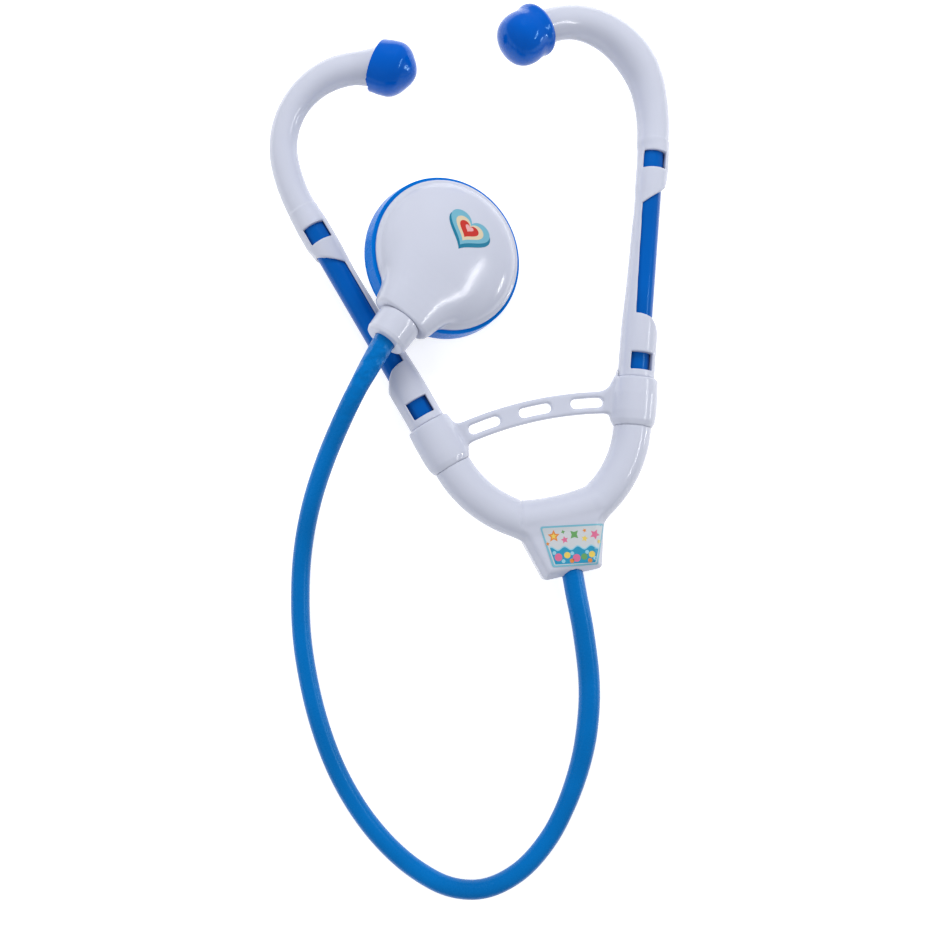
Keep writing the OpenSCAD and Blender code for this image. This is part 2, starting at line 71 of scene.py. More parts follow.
class HeadsetSizes(bpy.types.PropertyGroup):
    """Sizes of the yoke, bridge and ear tubes"""

    mid_z: metres("Middle plane", "Height of the headset's middle plane", 0.0069)
    arm_x: metres("Tube offset", "Half distance between the ear tubes at their lower windows", 0.036)
    arm_y: metres("Tube place", "Distance from the block to the lower windows", 0.0526)
    arm_lean: degrees("Tube lean", "Outward lean of the ear tubes", 17.7)
    left_turn: degrees("Left turn", "Turn of the left ear tube in its collar", -2)
    right_turn: degrees("Right turn", "Turn of the right ear tube in its collar", 7)
    hook_lean: degrees("Hook lean", "Forward lean of the hooks from the plane of the windows", 10)
    collar_r: metres("Collar radius", "Outside radius of a collar", 0.0069)
    yoke_r: metres("Yoke radius", "Outside radius of the yoke's tube", 0.006)
    strap_t: metres("Strap thickness", "Thickness of the strap between the collars", 0.003)
    detail: metres("Detail", "Spacing of the points on moulded pieces", 0.0004, min=0.0002)


class ChestSizes(bpy.types.PropertyGroup):
    """Sizes and place of the chest piece and hose"""

    cup_r: metres("Cup radius", "Widest radius of the blue cup", 0.0255)
    cap_r: metres("Cap radius", "Radius of the white cap at its rim", 0.0237)
    cup_h: metres("Cup height", "Height of the blue cup", 0.0075)
    dome_h: metres("Dome height", "Height of the dome above its rim", 0.0068)
    stem_h: metres("Stem height", "Height of the stem's axis above the cup's foot", 0.009)
    bearing: degrees("Bearing", "Bearing of the stem", 223.1)
    rise: degrees("Rise", "Rise of the stem", 9.5)
    roll: degrees("Roll", "Roll about the stem", -16.6)
    place: bpy.props.FloatVectorProperty(
        name="Place", description="Where the middle of the cup's foot is",
        default=(-0.0195, 0.0982, 0.0081), subtype="XYZ", unit="LENGTH")
    hose_d: metres("Hose diameter", "Outside diameter of the hose near its ends", 0.0068)


class StethoscopeColours(bpy.types.PropertyGroup):
    """Colours of the finishes"""

    white: rgb("White", "Pale lavender white of the mouldings", (0.62, 0.645, 0.75))
    blue: rgb("Blue", "Blue of the hard pieces", (0.0, 0.10, 0.44))
    cup_blue: rgb("Cup blue", "Blue of the chest piece's cup", (0.0, 0.18, 0.68))
    tip_blue: rgb("Tip blue", "Blue of the soft ear tips", (0.0, 0.105, 0.56))
    hose_blue: rgb("Hose blue", "Blue of the hose", (0.0, 0.155, 0.50))


# Distance shapes
# Lengths in this part are in millimetres.


def soft_min(a, b, k):
    """The smaller of two distances, with a fillet about k wide where they meet."""
    h = np.maximum(k - np.abs(a - b), 0) / k
    return np.minimum(a, b) - h * h * k / 4


def soft_max(a, b, k):
    """The larger of two distances, with a rounding about k wide where they meet."""
    return -soft_min(-a, -b, k)


def polygon_distance(x, y, points):
    """Signed distance in a plane to a closed polygon, negative inside."""
    best = np.full(x.shape, 1e9)
    inside = np.zeros(x.shape, bool)
    n = len(points)
    for i in range(n):
        ax, ay = points[i]
        bx, by = points[(i + 1) % n]
        ex, ey = bx - ax, by - ay
        wx, wy = x - ax, y - ay
        t = np.clip((wx * ex + wy * ey) / (ex * ex + ey * ey), 0, 1)
        best = np.minimum(best, (wx - ex * t) ** 2 + (wy - ey * t) ** 2)
        crosses = (ay > y) != (by > y)
        side = x < ax + (y - ay) * (ex / ey if ey else 0)
        inside ^= crosses & side
    d = np.sqrt(best)
    return np.where(inside, -d, d)


def along_line(p, start, direction):
    """Distance from a straight line, and how far along it each point is."""
    w = p - np.array(start)
    s = w @ np.array(direction)
    d = np.linalg.norm(w - s[..., None] * np.array(direction), axis=-1)
    return d, s


def along_arc(p, centre, radius, start, turn):
    """Distance from an arc in the plane z=0, and how far along it each point is.
    start is the angle of its first point and turn its signed angle."""
    x, y = p[..., 0] - centre[0], p[..., 1] - centre[1]
    rho = np.hypot(x, y)
    a = np.arctan2(y, x) - start
    a = (a + np.pi) % (2 * np.pi) - np.pi
    a = a * np.sign(turn)
    a_in = np.clip(a, 0, abs(turn))
    off = a - a_in
    dx = rho * np.cos(off) - radius
    dy = rho * np.sin(off)
    return np.sqrt(dx * dx + dy * dy + p[..., 2] ** 2), a_in * radius


def moulded(distance, low, high, step):
    """Points and four-sided faces of the surface where distance is zero."""
    low, high = np.array(low, float), np.array(high, float)
    block = 12
    count = np.ceil((high - low) / step / block).astype(int) * block + 1
    field = np.full(count, 1.0, np.float32)
    axes = [low[i] + step * np.arange(count[i]) for i in range(3)]
    reach = block * step * 0.5 * math.sqrt(3) * 1.35 + step
    for i in range(0, count[0] - 1, block):
        for j in range(0, count[1] - 1, block):
            ks = np.arange(0, count[2] - 1, block)
            centres = np.empty((len(ks), 3))
            centres[:, 0] = axes[0][i + block // 2]
            centres[:, 1] = axes[1][j + block // 2]
            centres[:, 2] = axes[2][ks + block // 2]
            near = distance(centres)
            for k, d in zip(ks, near):
                cut = (slice(i, i + block + 1), slice(j, j + block + 1), slice(k, k + block + 1))
                if abs(d) > reach:
                    field[cut] = np.where(field[cut] == 1.0, math.copysign(2.0, d), field[cut])
                    continue
                grid = np.stack(np.meshgrid(*(axes[n][cut[n]] for n in range(3)), indexing="ij"), -1)
                field[cut] = distance(grid)
    inside = field < 0
    total = np.zeros(count - 1, np.int8)
    for c in range(8):
        o = [(c >> n) & 1 for n in range(3)]
        total += inside[tuple(slice(o[n], count[n] - 1 + o[n]) for n in range(3))]
    active = np.argwhere((total > 0) & (total < 8))
    index = np.full(count - 1, -1, np.int32)
    index[tuple(active.T)] = np.arange(len(active))
    middle = np.zeros((len(active), 3))
    hits = np.zeros(len(active))
    for axis in range(3):
        others = [n for n in range(3) if n != axis]
        for c in range(4):
            a = active.copy()
            a[:, others[0]] += c & 1
            a[:, others[1]] += c >> 1
            b = a.copy()
            b[:, axis] += 1
            va, vb = field[tuple(a.T)], field[tuple(b.T)]
            hit = (va < 0) != (vb < 0)
            t = np.where(hit, va / np.where(hit, va - vb, 1), 0)
            p = a.astype(float)
            p[:, axis] += t
            middle += np.where(hit[:, None], p, 0)
            hits += hit
    points = low + step * middle / hits[:, None]
    faces = []
    for axis in range(3):
        u, v = [(1, 2), (2, 0), (0, 1)][axis]
        head = [slice(None)] * 3
        tail = [slice(None)] * 3
        head[axis] = slice(0, count[axis] - 1)
        tail[axis] = slice(1, count[axis])
        a, b = inside[tuple(head)], inside[tuple(tail)]
        for leaving in (True, False):
            where = np.argwhere((a & ~b) if leaving else (~a & b))
            keep = (where[:, u] > 0) & (where[:, v] > 0)
            keep &= (where[:, u] < count[u] - 1) & (where[:, v] < count[v] - 1)
            where = where[keep]
            around = []
            for du, dv in ((-1, -1), (0, -1), (0, 0), (-1, 0)):
                c = where.copy()
                c[:, u] += du
                c[:, v] += dv
                around.append(index[tuple(c.T)])
            quad = np.stack(around, 1)
            faces.append(quad if leaving else quad[:, ::-1])
    faces = np.concatenate(faces)
    h = step * 0.3
    for _ in range(4):
        d = distance(points)
        slope = np.stack([
            distance(points + h * np.eye(3)[n]) - distance(points - h * np.eye(3)[n])
            for n in range(3)], -1) / (2 * h)
        size = np.maximum((slope ** 2).sum(-1), 0.2)
        move = -d[:, None] * slope / size[:, None]
        points = points + np.clip(move, -step * 0.5, step * 0.5)
    return points, faces


# Mesh helpers


def linked(name, data):
    """A new object for a mesh, lamp or camera, in the scene."""
    obj = bpy.data.objects.new(name, data)
    bpy.context.scene.collection.objects.link(obj)
    return obj


def smoothed(obj, smooth_angle=38.0):
    """Smooth shading, with edges over the angle in degrees left sharp."""
    mesh = obj.data
    mesh.polygons.foreach_set("use_smooth", [True] * len(mesh.polygons))
    mesh.set_sharp_from_angle(angle=math.radians(smooth_angle))
    return obj


def band(a, b, count):
    """Faces between two closed rings of points, whose first points are a and b."""
    return [(a + i, a + (i + 1) % count, b + (i + 1) % count, b + i) for i in range(count)]


def cut_plane(bm, point, normal, **clear):
    """Cuts a mesh along a plane, and may clear one side of it."""
    return bmesh.ops.bisect_plane(bm, geom=bm.verts[:] + bm.edges[:] + bm.faces[:], dist=1e-7,
                                  plane_co=point, plane_no=normal, **clear)["geom_cut"]


def new_piece(name, points, faces, materials, smooth_angle=38.0):
    """An object from points in metres, with its place in its mesh."""
    mesh = bpy.data.meshes.new(name)
    mesh.from_pydata([tuple(p) for p in points], [], [tuple(f) for f in faces])
    mesh.update()
    for m in materials:
        mesh.materials.append(m)
    return smoothed(linked(name, mesh), smooth_angle)


def mould(name, distance, low, high, place, material, flip=False):
    """A moulded piece from its distance shape in a box in millimetres, put in place.
    flip turns the faces round where the place mirrors the shape."""
    points, faces = moulded(distance, low, high, sizes().detail / MM)
    return new_piece(name, placed(points, place), faces[:, ::-1] if flip else faces, [material])


def halves(obj, point, normal, names):
    """Cuts a closed piece along a plane into two closed pieces."""
    made = []
    for name, keep_positive in zip(names, (True, False)):
        bm = bmesh.new()
        bm.from_mesh(obj.data)
        cut = cut_plane(bm, point, normal, clear_inner=keep_positive,
                        clear_outer=not keep_positive)
        rim = [e for e in cut if isinstance(e, bmesh.types.BMEdge)]
        bmesh.ops.holes_fill(bm, edges=rim, sides=0)
        mesh = bpy.data.meshes.new(name)
        bm.to_mesh(mesh)
        bm.free()
        for m in obj.data.materials:
            mesh.materials.append(m)
        made.append(smoothed(linked(name, mesh)))
    bpy.data.objects.remove(obj)
    return made


def rounded(points, radii, steps=5):
    """A line with its corners rounded. radii has one radius for each point."""
    out = []
    for i, (p, r) in enumerate(zip(points, radii)):
        p = np.array(p, float)
        if r <= 0 or i in (0, len(points) - 1):
            out.append(tuple(p))
            continue
        a, b = np.array(points[i - 1]) - p, np.array(points[i + 1]) - p
        la, lb = np.linalg.norm(a), np.linalg.norm(b)
        a, b = a / la, b / lb
        half = math.acos(max(-1, min(1, float(a @ b)))) / 2
        back = min(r / math.tan(half), la * 0.49, lb * 0.49)
        first, last = p + a * back, p + b * back
        for s in range(steps + 1):
            t = s / steps
            out.append(tuple((1 - t) ** 2 * first + 2 * t * (1 - t) * p + t * t * last))
    return out


def smooth_line(points, steps):
    """A smooth curve through points, with a number of steps between each two."""
    pts = [np.array(p, float) for p in points]
    n = len(pts) - 1
    out = []
    for i in range(n):
        a, b, c, d = pts[max(i - 1, 0)], pts[i], pts[i + 1], pts[min(i + 2, n)]
        for k in range(steps):
            t = k / steps
            out.append(tuple(0.5 * (2 * b + t * (c - a) + t * t * (2 * a - 5 * b + 4 * c - d)
                                    + t ** 3 * (3 * b - a - 3 * c + d))))
    out.append(tuple(pts[-1]))
    return out


def make_node(tree, kind, inputs=None, **settings):
    """A node with its settings, and its inputs set to values or linked from sockets."""
    node = tree.nodes.new(kind)
    for name, value in settings.items():
        setattr(node, name, value)
    for key, value in (inputs or {}).items():
        if isinstance(value, bpy.types.NodeSocket):
            tree.links.new(value, node.inputs[key])
        else:
            node.inputs[key].default_value = value
    return node


def maths(tree, operation, *values):
    """The result of a Math node."""
    return make_node(tree, "ShaderNodeMath", dict(enumerate(values)), operation=operation).outputs[0]


def map_range(tree, value, low, high, to_low=0.0, to_high=1.0):
    """The result of a Map Range node."""
    return make_node(tree, "ShaderNodeMapRange", {
        "Value": value, "From Min": low, "From Max": high, "To Min": to_low,
        "To Max": to_high}).outputs[0]


def new_group(name, kind, inputs, outputs):
    """An empty node group with named sockets: the group, its input node and its output node."""
    tree = bpy.data.node_groups.new(name, kind)
    for in_out, sockets in (("INPUT", inputs), ("OUTPUT", outputs)):
        for label, socket, *value in sockets:
            made = tree.interface.new_socket(
                label, in_out=in_out, socket_type="NodeSocket" + socket)
            if value:
                made.default_value = value[0]
    return tree, tree.nodes.new("NodeGroupInput"), tree.nodes.new("NodeGroupOutput")


def finish_group(tree, geometry, finish, leave):
    """Ends a Geometry Nodes group: real geometry with its material."""
    real = make_node(tree, "GeometryNodeRealizeInstances", {0: geometry})
    done = make_node(tree, "GeometryNodeSetMaterial", {"Geometry": real.outputs[0], "Material": finish})
    tree.links.new(done.outputs[0], leave.inputs[0])
    return tree


def turned_tree():
    """Geometry Nodes tree that turns a profile about Z. The profile is the points of
    the object's own mesh, each with its radius in X and its height in Z."""
    tree = bpy.data.node_groups.get("Turned profile")
    if tree:
        return tree
    tree, enter, leave = new_group(
        "Turned profile", "GeometryNodeTree",
        [("Profile", "Geometry"), ("Sides", "Int", 96), ("Finish", "Material")],
        [("Piece", "Geometry")])
    profile, sides = enter.outputs["Profile"], enter.outputs["Sides"]
    count = make_node(tree, "GeometryNodeAttributeDomainSize",
                      {"Geometry": profile}).outputs["Point Count"]
    grid = make_node(tree, "GeometryNodeMeshGrid", {
        "Size X": 1, "Size Y": 1, "Vertices X": maths(tree, "ADD", sides, 1), "Vertices Y": count})
    index = make_node(tree, "GeometryNodeInputIndex").outputs[0]
    row = maths(tree, "MODULO", index, count)
    column = maths(tree, "FLOOR", maths(tree, "DIVIDE", maths(tree, "ADD", index, 0.5), count))
    turn = maths(tree, "MULTIPLY", maths(tree, "DIVIDE", column, sides), math.tau)
    sample = make_node(tree, "GeometryNodeSampleIndex", {
        "Geometry": profile, "Value": make_node(tree, "GeometryNodeInputPosition").outputs[0],
        "Index": row}, data_type="FLOAT_VECTOR")
    parts = make_node(tree, "ShaderNodeSeparateXYZ", {0: sample.outputs["Value"]}).outputs
    joined = make_node(tree, "ShaderNodeCombineXYZ", {
        "X": maths(tree, "MULTIPLY", parts["X"], maths(tree, "COSINE", turn)),
        "Y": maths(tree, "MULTIPLY", parts["X"], maths(tree, "SINE", turn)), "Z": parts["Z"]})
    place = make_node(tree, "GeometryNodeSetPosition", {
        "Geometry": grid.outputs["Mesh"], "Position": joined.outputs[0]})
    weld = make_node(tree, "GeometryNodeMergeByDistance", {
        "Geometry": place.outputs[0], "Distance": 1e-6})
    return finish_group(tree, weld.outputs[0], enter.outputs["Finish"], leave)


def from_tree(obj, tree, values):
    """Runs a Geometry Nodes tree on an object and keeps the result as a plain mesh."""
    modifier = obj.modifiers.new(tree.name, "NODES")
    modifier.node_group = tree
    for item in tree.interface.items_tree:
        if item.item_type == "SOCKET" and item.in_out == "INPUT" and item.name in values:
            modifier[item.identifier] = values[item.name]
    graph = bpy.context.evaluated_depsgraph_get()
    graph.update()
    mesh = bpy.data.meshes.new_from_object(obj.evaluated_get(graph), depsgraph=graph)
    obj.modifiers.remove(modifier)
    old = obj.data
    obj.data = mesh
    bpy.data.meshes.remove(old)
    mesh.name = obj.name
    return obj


def turned(name, profile, place, material, sides):
    """A turned piece from a profile of (radius, height) in millimetres, put in place."""
    mesh = bpy.data.meshes.new(name + "_profile")
    mesh.from_pydata([(r * MM, 0, z * MM) for r, z in profile], [], [])
    obj = from_tree(linked(name, mesh), turned_tree(), {"Sides": sides, "Finish": material})
    bm = bmesh.new()
    bm.from_mesh(obj.data)
    bmesh.ops.remove_doubles(bm, verts=bm.verts[:], dist=1e-6)
    bmesh.ops.dissolve_degenerate(bm, edges=bm.edges[:], dist=1e-7)
    bmesh.ops.recalc_face_normals(bm, faces=bm.faces[:])
    bm.to_mesh(obj.data)
    bm.free()
    obj.data.transform(place)
    return smoothed(obj)


# Materials


def grain_group():
    """Fine unevenness of moulded plastic: height, roughness change and tone."""
    tree = bpy.data.node_groups.get("Moulded grain")
    if tree:
        return tree
    tree, enter, leave = new_group(
        "Moulded grain", "ShaderNodeTree",
        [("Fine Scale", "Float", 900.0), ("Wave Scale", "Float", 90.0)],
        [("Height", "Float"), ("Rough", "Float"), ("Tone", "Float")])
    where = make_node(tree, "ShaderNodeTexCoord").outputs["Object"]
    fine, wave, cloud = (
        make_node(tree, "ShaderNodeTexNoise",
                  {"Vector": where, "Scale": scale, "Detail": detail}).outputs["Fac"]
        for scale, detail in ((enter.outputs["Fine Scale"], 3), (enter.outputs["Wave Scale"], 1),
                              (38, 2)))
    height = maths(tree, "MULTIPLY_ADD", fine, 0.12, wave)
    for name, value in (("Height", height), ("Rough", fine), ("Tone", cloud)):
        tree.links.new(value, leave.inputs[name])
    return tree


def scuff_group():
    """Thin scratches from handling, as a mask."""
    tree = bpy.data.node_groups.get("Handling scuffs")
    if tree:
        return tree
    tree, enter, leave = new_group("Handling scuffs", "ShaderNodeTree",
                                   [("Amount", "Float", 0.4)], [("Mask", "Float")])
    where = make_node(tree, "ShaderNodeTexCoord").outputs["Object"]
    bend = make_node(tree, "ShaderNodeMapping", {
        "Vector": where, "Scale": (60, 900, 400), "Rotation": (0.2, 0.1, 0.9)})
    lines = make_node(tree, "ShaderNodeTexNoise", {"Vector": bend.outputs[0], "Scale": 1, "Detail": 2})
    patch = make_node(tree, "ShaderNodeTexNoise", {"Vector": where, "Scale": 55})
    mask = maths(tree, "MULTIPLY", map_range(tree, lines.outputs["Fac"], 0.66, 0.74),
                 map_range(tree, patch.outputs["Fac"], 0.5, 0.7))
    tree.links.new(maths(tree, "MULTIPLY", mask, enter.outputs["Amount"]), leave.inputs["Mask"])
    return tree


# Noise values that give the lowest and the highest effect
NOISE_RANGE = (0.3, 0.7)
# Roughness that a full scuff adds
SCUFF_ROUGH = 0.3
# Tint of the reflections on the blue pieces
BLUE_SHEEN = (0.3, 0.7, 1.0)


def plastic(name, colour, rough, tone, wave, bump=0.00003, scuffs=0.1, scatter=0.0, gloss=0.5,
            sheen=(1, 1, 1)):
    """A moulded plastic finish in one colour. rough is its lowest and highest roughness, tone
    the share by which its colour varies, wave the scale of its unevenness and bump its depth."""
    mat = bpy.data.materials.get(name)
    if mat:
        return mat
    mat = bpy.data.materials.new(name)
    mat.use_nodes = True
    tree = mat.node_tree
    shader = tree.nodes["Principled BSDF"]
    values = {"IOR": 1.49, "Specular IOR Level": gloss, "Specular Tint": (*sheen, 1)}
    if scatter:
        values.update({"Subsurface Weight": scatter, "Subsurface Radius": (1.0, 1.0, 1.0),
                       "Subsurface Scale": 0.0012})
    for key, value in values.items():
        shader.inputs[key].default_value = value
    grain = make_node(tree, "ShaderNodeGroup", node_tree=grain_group())
    grain.inputs["Wave Scale"].default_value = wave
    marks = make_node(tree, "ShaderNodeGroup", node_tree=scuff_group())
    marks.inputs["Amount"].default_value = scuffs
    tint = make_node(tree, "ShaderNodeMix", {
        "A": (*[c * (1 - tone) for c in colour], 1),
        "B": (*[min(1, c * (1 + tone)) for c in colour], 1),
        "Factor": map_range(tree, grain.outputs["Tone"], *NOISE_RANGE)}, data_type="RGBA")
    clean = map_range(tree, grain.outputs["Rough"], *NOISE_RANGE, *rough)
    worn = maths(tree, "MULTIPLY_ADD", marks.outputs["Mask"], SCUFF_ROUGH, clean)
    bumps = make_node(tree, "ShaderNodeBump", {
        "Distance": bump, "Strength": 0.5, "Height": grain.outputs["Height"]})
    for key, value in (("Base Color", tint.outputs["Result"]), ("Roughness", worn),
                       ("Normal", bumps.outputs[0])):
        tree.links.new(value, shader.inputs[key])
    return mat


def colours():
    return bpy.context.scene.stethoscope_colours


def white_plastic():
    return plastic("White plastic", colours().white, (0.12, 0.2), tone=0.02, wave=60.0,
                   scuffs=0.06, scatter=0.15)


def blue_plastic():
    return plastic("Blue plastic", colours().blue, (0.14, 0.24), tone=0.12, wave=110.0,
                   scuffs=0.12, gloss=0.35, sheen=BLUE_SHEEN)


# Placements


def sizes():
    return bpy.context.scene.stethoscope_headset


def chest():
    return bpy.context.scene.stethoscope_chest


def collar_place(side):
    """Place of an ear tube's frame, with X outwards and Y along the tube."""
    h = sizes()
    m = Matrix.Translation((h.arm_x, h.arm_y, h.mid_z)) @ Matrix.Rotation(-h.arm_lean, 4, "Z")
    return Matrix.Scale(-1, 4, (1, 0, 0)) @ m if side < 0 else m


def arm_place(side):
    """Place of an ear tube, turned in its collar."""
    h = sizes()
    turn = h.left_turn if side < 0 else h.right_turn
    return collar_place(side) @ Matrix.Rotation(turn, 4, "Y")


def head_place():
    """Place of the chest piece, with X out along the stem and Z through the disc."""
    c = chest()
    return (Matrix.Translation(c.place) @ Matrix.Rotation(c.bearing, 4, "Z")
            @ Matrix.Rotation(-c.rise, 4, "Y") @ Matrix.Rotation(c.roll, 4, "X"))


def placed(points, place):
    """Points in millimetres put in place, in metres."""
    m = np.array(place)
    return (np.asarray(points) * MM) @ m[:3, :3].T + m[:3, 3]


SIDES = ((-1, "left"), (1, "right"))
TO_Y = Matrix.Rotation(-math.pi / 2, 4, "X")
TO_X = Matrix.Rotation(math.pi / 2, 4, "Y")

# Places along an ear tube, from its lower window
COLLAR_TOP = -5.2
COLLAR_END = -20.8
LINER_LOW = -13.0
LINER_HIGH = 70.5
SHANK_END = 74.5
WINDOW_PITCH = 64.8
WINDOW_W = 7.1
WINDOW_H = 5.5
WINDOW_RISE = 2.6
# Radii of fits: bores of shells and tips, stubs in them, inner tubes and hose sockets
BORE_R = 3.95
STUB_R = 3.88
LINER_R = 3.9
LINER_BORE_R = 2.4
SOCKET_R = 3.45
# The bends of a hook, each with its radius and turn, and the straight end of each side
BEND_1 = (52.0, math.radians(19))
BEND_2 = (25.0, math.radians(100))
HOOK_END = {-1: 7.4, 1: 6.9}


def hook_points():
    """Centres of the two bends, the hook's corner and its end direction."""
    r1, a1 = BEND_1
    r2, a2 = BEND_2
    c1 = np.array([-r1, SHANK_END, 0.0])
    c2 = c1 + (r1 - r2) * np.array([math.cos(a1), math.sin(a1), 0])
    a = a1 + a2
    corner = c2 + r2 * np.array([math.cos(a), math.sin(a), 0])
    ahead = np.array([-math.sin(a), math.cos(a), 0])
    return c1, c2, corner, ahead


def hook_length(side):
    return BEND_1[0] * BEND_1[1] + BEND_2[0] * BEND_2[1] + HOOK_END[side]


# Hose

HOSE_ROUTE = [
    (0, 0.2, 6.9), (0, -8, 6.9), (-0.3, -15, 6.7), (-0.6, -27, 5.6), (-2, -42, 4.1),
    (-5, -54, 3.6), (-10, -66, 3.5), (-17.5, -78, 3.5), (-26, -87.5, 3.5),
    (-36.5, -94.5, 3.5), (-48, -97, 3.5), (-58.5, -94, 3.5), (-67.5, -86.5, 3.5),
    (-75, -76.5, 3.5), (-81, -64.5, 3.5), (-85.2, -51, 3.5), (-87.4, -36.5, 3.5),
    (-87.9, -21.5, 3.5), (-86.9, -7, 3.5), (-84, 8, 3.7), (-80, 20.5, 5.4),
    (-74.5, 32, 9.6), (-67.5, 43, 14.8), (-59.5, 53.6, 19.6), (-52, 62.6, 22.4)]
HOSE_SEAT = 9.0
NECK_END = 27.4
SLEEVE_L = 8.4


def hose_line(steps):
    """Points along the middle of the hose, in millimetres."""
    m = np.array(head_place())
    tail = []
    for s in (HOSE_SEAT + 0.08, HOSE_SEAT / 2, 0):
        p = np.array([NECK_END + SLEEVE_L - HOSE_SEAT + s, 0, chest().stem_h / MM, 0])
        tail.append((m @ p)[:3] + m[:3, 3] / MM)
    return np.array(smooth_line(HOSE_ROUTE + tail, steps))


# The hose is drawn thinner away from its ends, as a share of its diameter there.
# It thins over a stretch after the block and fills out again before the neck sleeve.
HOSE_THIN = 0.86
HOSE_THINS = (60, 85)
HOSE_FILLS = (26, 12)
HOSE_SIDES = 28
# Distances in metres from the neck sleeve where the crumples end and are strongest
CRUMPLE_ENDS = (0.05, 0.008)


def hose_finish():
    """Soft blue hose, with small crumples where it was pushed into the neck sleeve."""
    mat = bpy.data.materials.get("Hose")
    if mat:
        return mat
    mat = plastic("Hose", colours().hose_blue, (0.22, 0.34), tone=0.12, wave=60.0, bump=0.00004,
                  gloss=0.35, sheen=BLUE_SHEEN)
    tree = mat.node_tree
    bumps = [n for n in tree.nodes if n.bl_idname == "ShaderNodeBump"][0]
    uv = make_node(tree, "ShaderNodeUVMap", uv_map="Hose")
    parts = make_node(tree, "ShaderNodeSeparateXYZ", {0: uv.outputs[0]})
    near = map_range(tree, parts.outputs["X"], *CRUMPLE_ENDS)
    where = make_node(tree, "ShaderNodeTexCoord").outputs["Object"]
    folds = make_node(tree, "ShaderNodeTexNoise", {"Vector": where, "Scale": 330, "Detail": 1})
    more = make_node(tree, "ShaderNodeBump", {
        "Distance": 0.0015, "Strength": 0.9, "Normal": bumps.outputs[0],
        "Height": maths(tree, "MULTIPLY", near, folds.outputs["Fac"])})
    tree.links.new(more.outputs[0], tree.nodes["Principled BSDF"].inputs["Normal"])
    return mat


class STETHOSCOPE_OT_hose(bpy.types.Operator):
    """Make the hose"""

    bl_idname = "stethoscope.hose"
    bl_label = "Hose"

    def execute(self, context):
        line = hose_line(10)
        r = chest().hose_d / 2 / MM
        sides = HOSE_SIDES
        ahead = np.gradient(line, axis=0)
        ahead /= np.linalg.norm(ahead, axis=1)[:, None]
        across = np.cross(ahead, [0, 0, 1])
        across /= np.linalg.norm(across, axis=1)[:, None]
        up = np.cross(across, ahead)
        run = np.concatenate([[0], np.cumsum(np.linalg.norm(np.diff(line, axis=0), axis=1))])
        turn = np.linspace(0, math.tau, sides, endpoint=False)
        ring = (np.cos(turn)[None, :, None] * across[:, None]
                + np.sin(turn)[None, :, None] * up[:, None])
        stretch = (*HOSE_THINS, *(run[-1] - s for s in HOSE_FILLS))
        share = np.interp(run, stretch, (1, HOSE_THIN, HOSE_THIN, 1))
        middle = line - np.outer((1 - share) * r, (0, 0, 1))
        points = (middle[:, None] + r * share[:, None, None] * ring).reshape(-1, 3) * MM
        n = len(line)
        faces = []
        for i in range(n - 1):
            faces += [(a, d, c, b) for a, b, c, d in band(i * sides, (i + 1) * sides, sides)]
        faces.append(tuple(range(sides)))
        faces.append(tuple(reversed(range((n - 1) * sides, n * sides))))
        obj = new_piece("blue_hose", points, faces, [hose_finish()])
        uv = obj.data.uv_layers.new(name="Hose")
        left = (run[-1] - run) * MM
        for poly in obj.data.polygons:
            for loop in poly.loop_indices:
                v = obj.data.loops[loop].vertex_index
                uv.data[loop].uv = (left[v // sides], (v % sides) / sides)
        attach(obj, "headset")
        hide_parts("hose")
        return {"FINISHED"}


# Ear tubes

SHELL_LOW = -5.12
HOOK_R = 5.2
# Radius at places along the shank, and swell of the hook as shares of its length and radius
SHELL_RADII = [(-6, 5.9), (11, 5.9), (14, 5.78), (19.2, 5.5), (26, 5.25), (34, 5.0), (42, 4.82),
               (49, 4.7), (53, 4.85), (57, 5.15), (60, 5.2), (71, 5.2), (74.5, 5.2), (80, 5.2)]
LEFT_SWELL = [(0, 0.92), (0.06, 0.88), (0.24, 0.87), (0.35, 0.84), (0.54, 0.84), (0.66, 0.89),
              (0.78, 0.95), (0.9, 0.97), (1, 1.24)]
RIGHT_SWELL = [(0, 1), (0.18, 1.03), (0.3, 1.11), (0.42, 1.2), (0.5, 1.18), (0.66, 1.09),
               (0.78, 1), (0.9, 0.99), (1, 1.05)]
# Sideways shift of the right shank at places along it
RIGHT_SHIFT = ((46, 56, 68, 80), (0, 0.55, 0.55, 0))
# Outline of the cut-out that shows the inner tube
NOTCH = [(-3, 15.6), (-1.2, 15.4), (0.4, 15.0), (1.95, 14.5), (3.0, 13.6), (4.0, 12.5),
         (5.0, 11.0), (5.7, 9.7), (7.5, 8.6), (7.5, 63.6), (5.4, 62.6), (4.9, 61.2), (4.2, 58.6),
         (3.0, 57.3), (-3, 52.6)]


def averaged(values, count, ends="edge"):
    """Values averaged over a count of neighbours."""
    return np.convolve(np.pad(values, count // 2, ends), np.ones(count) / count, "valid")


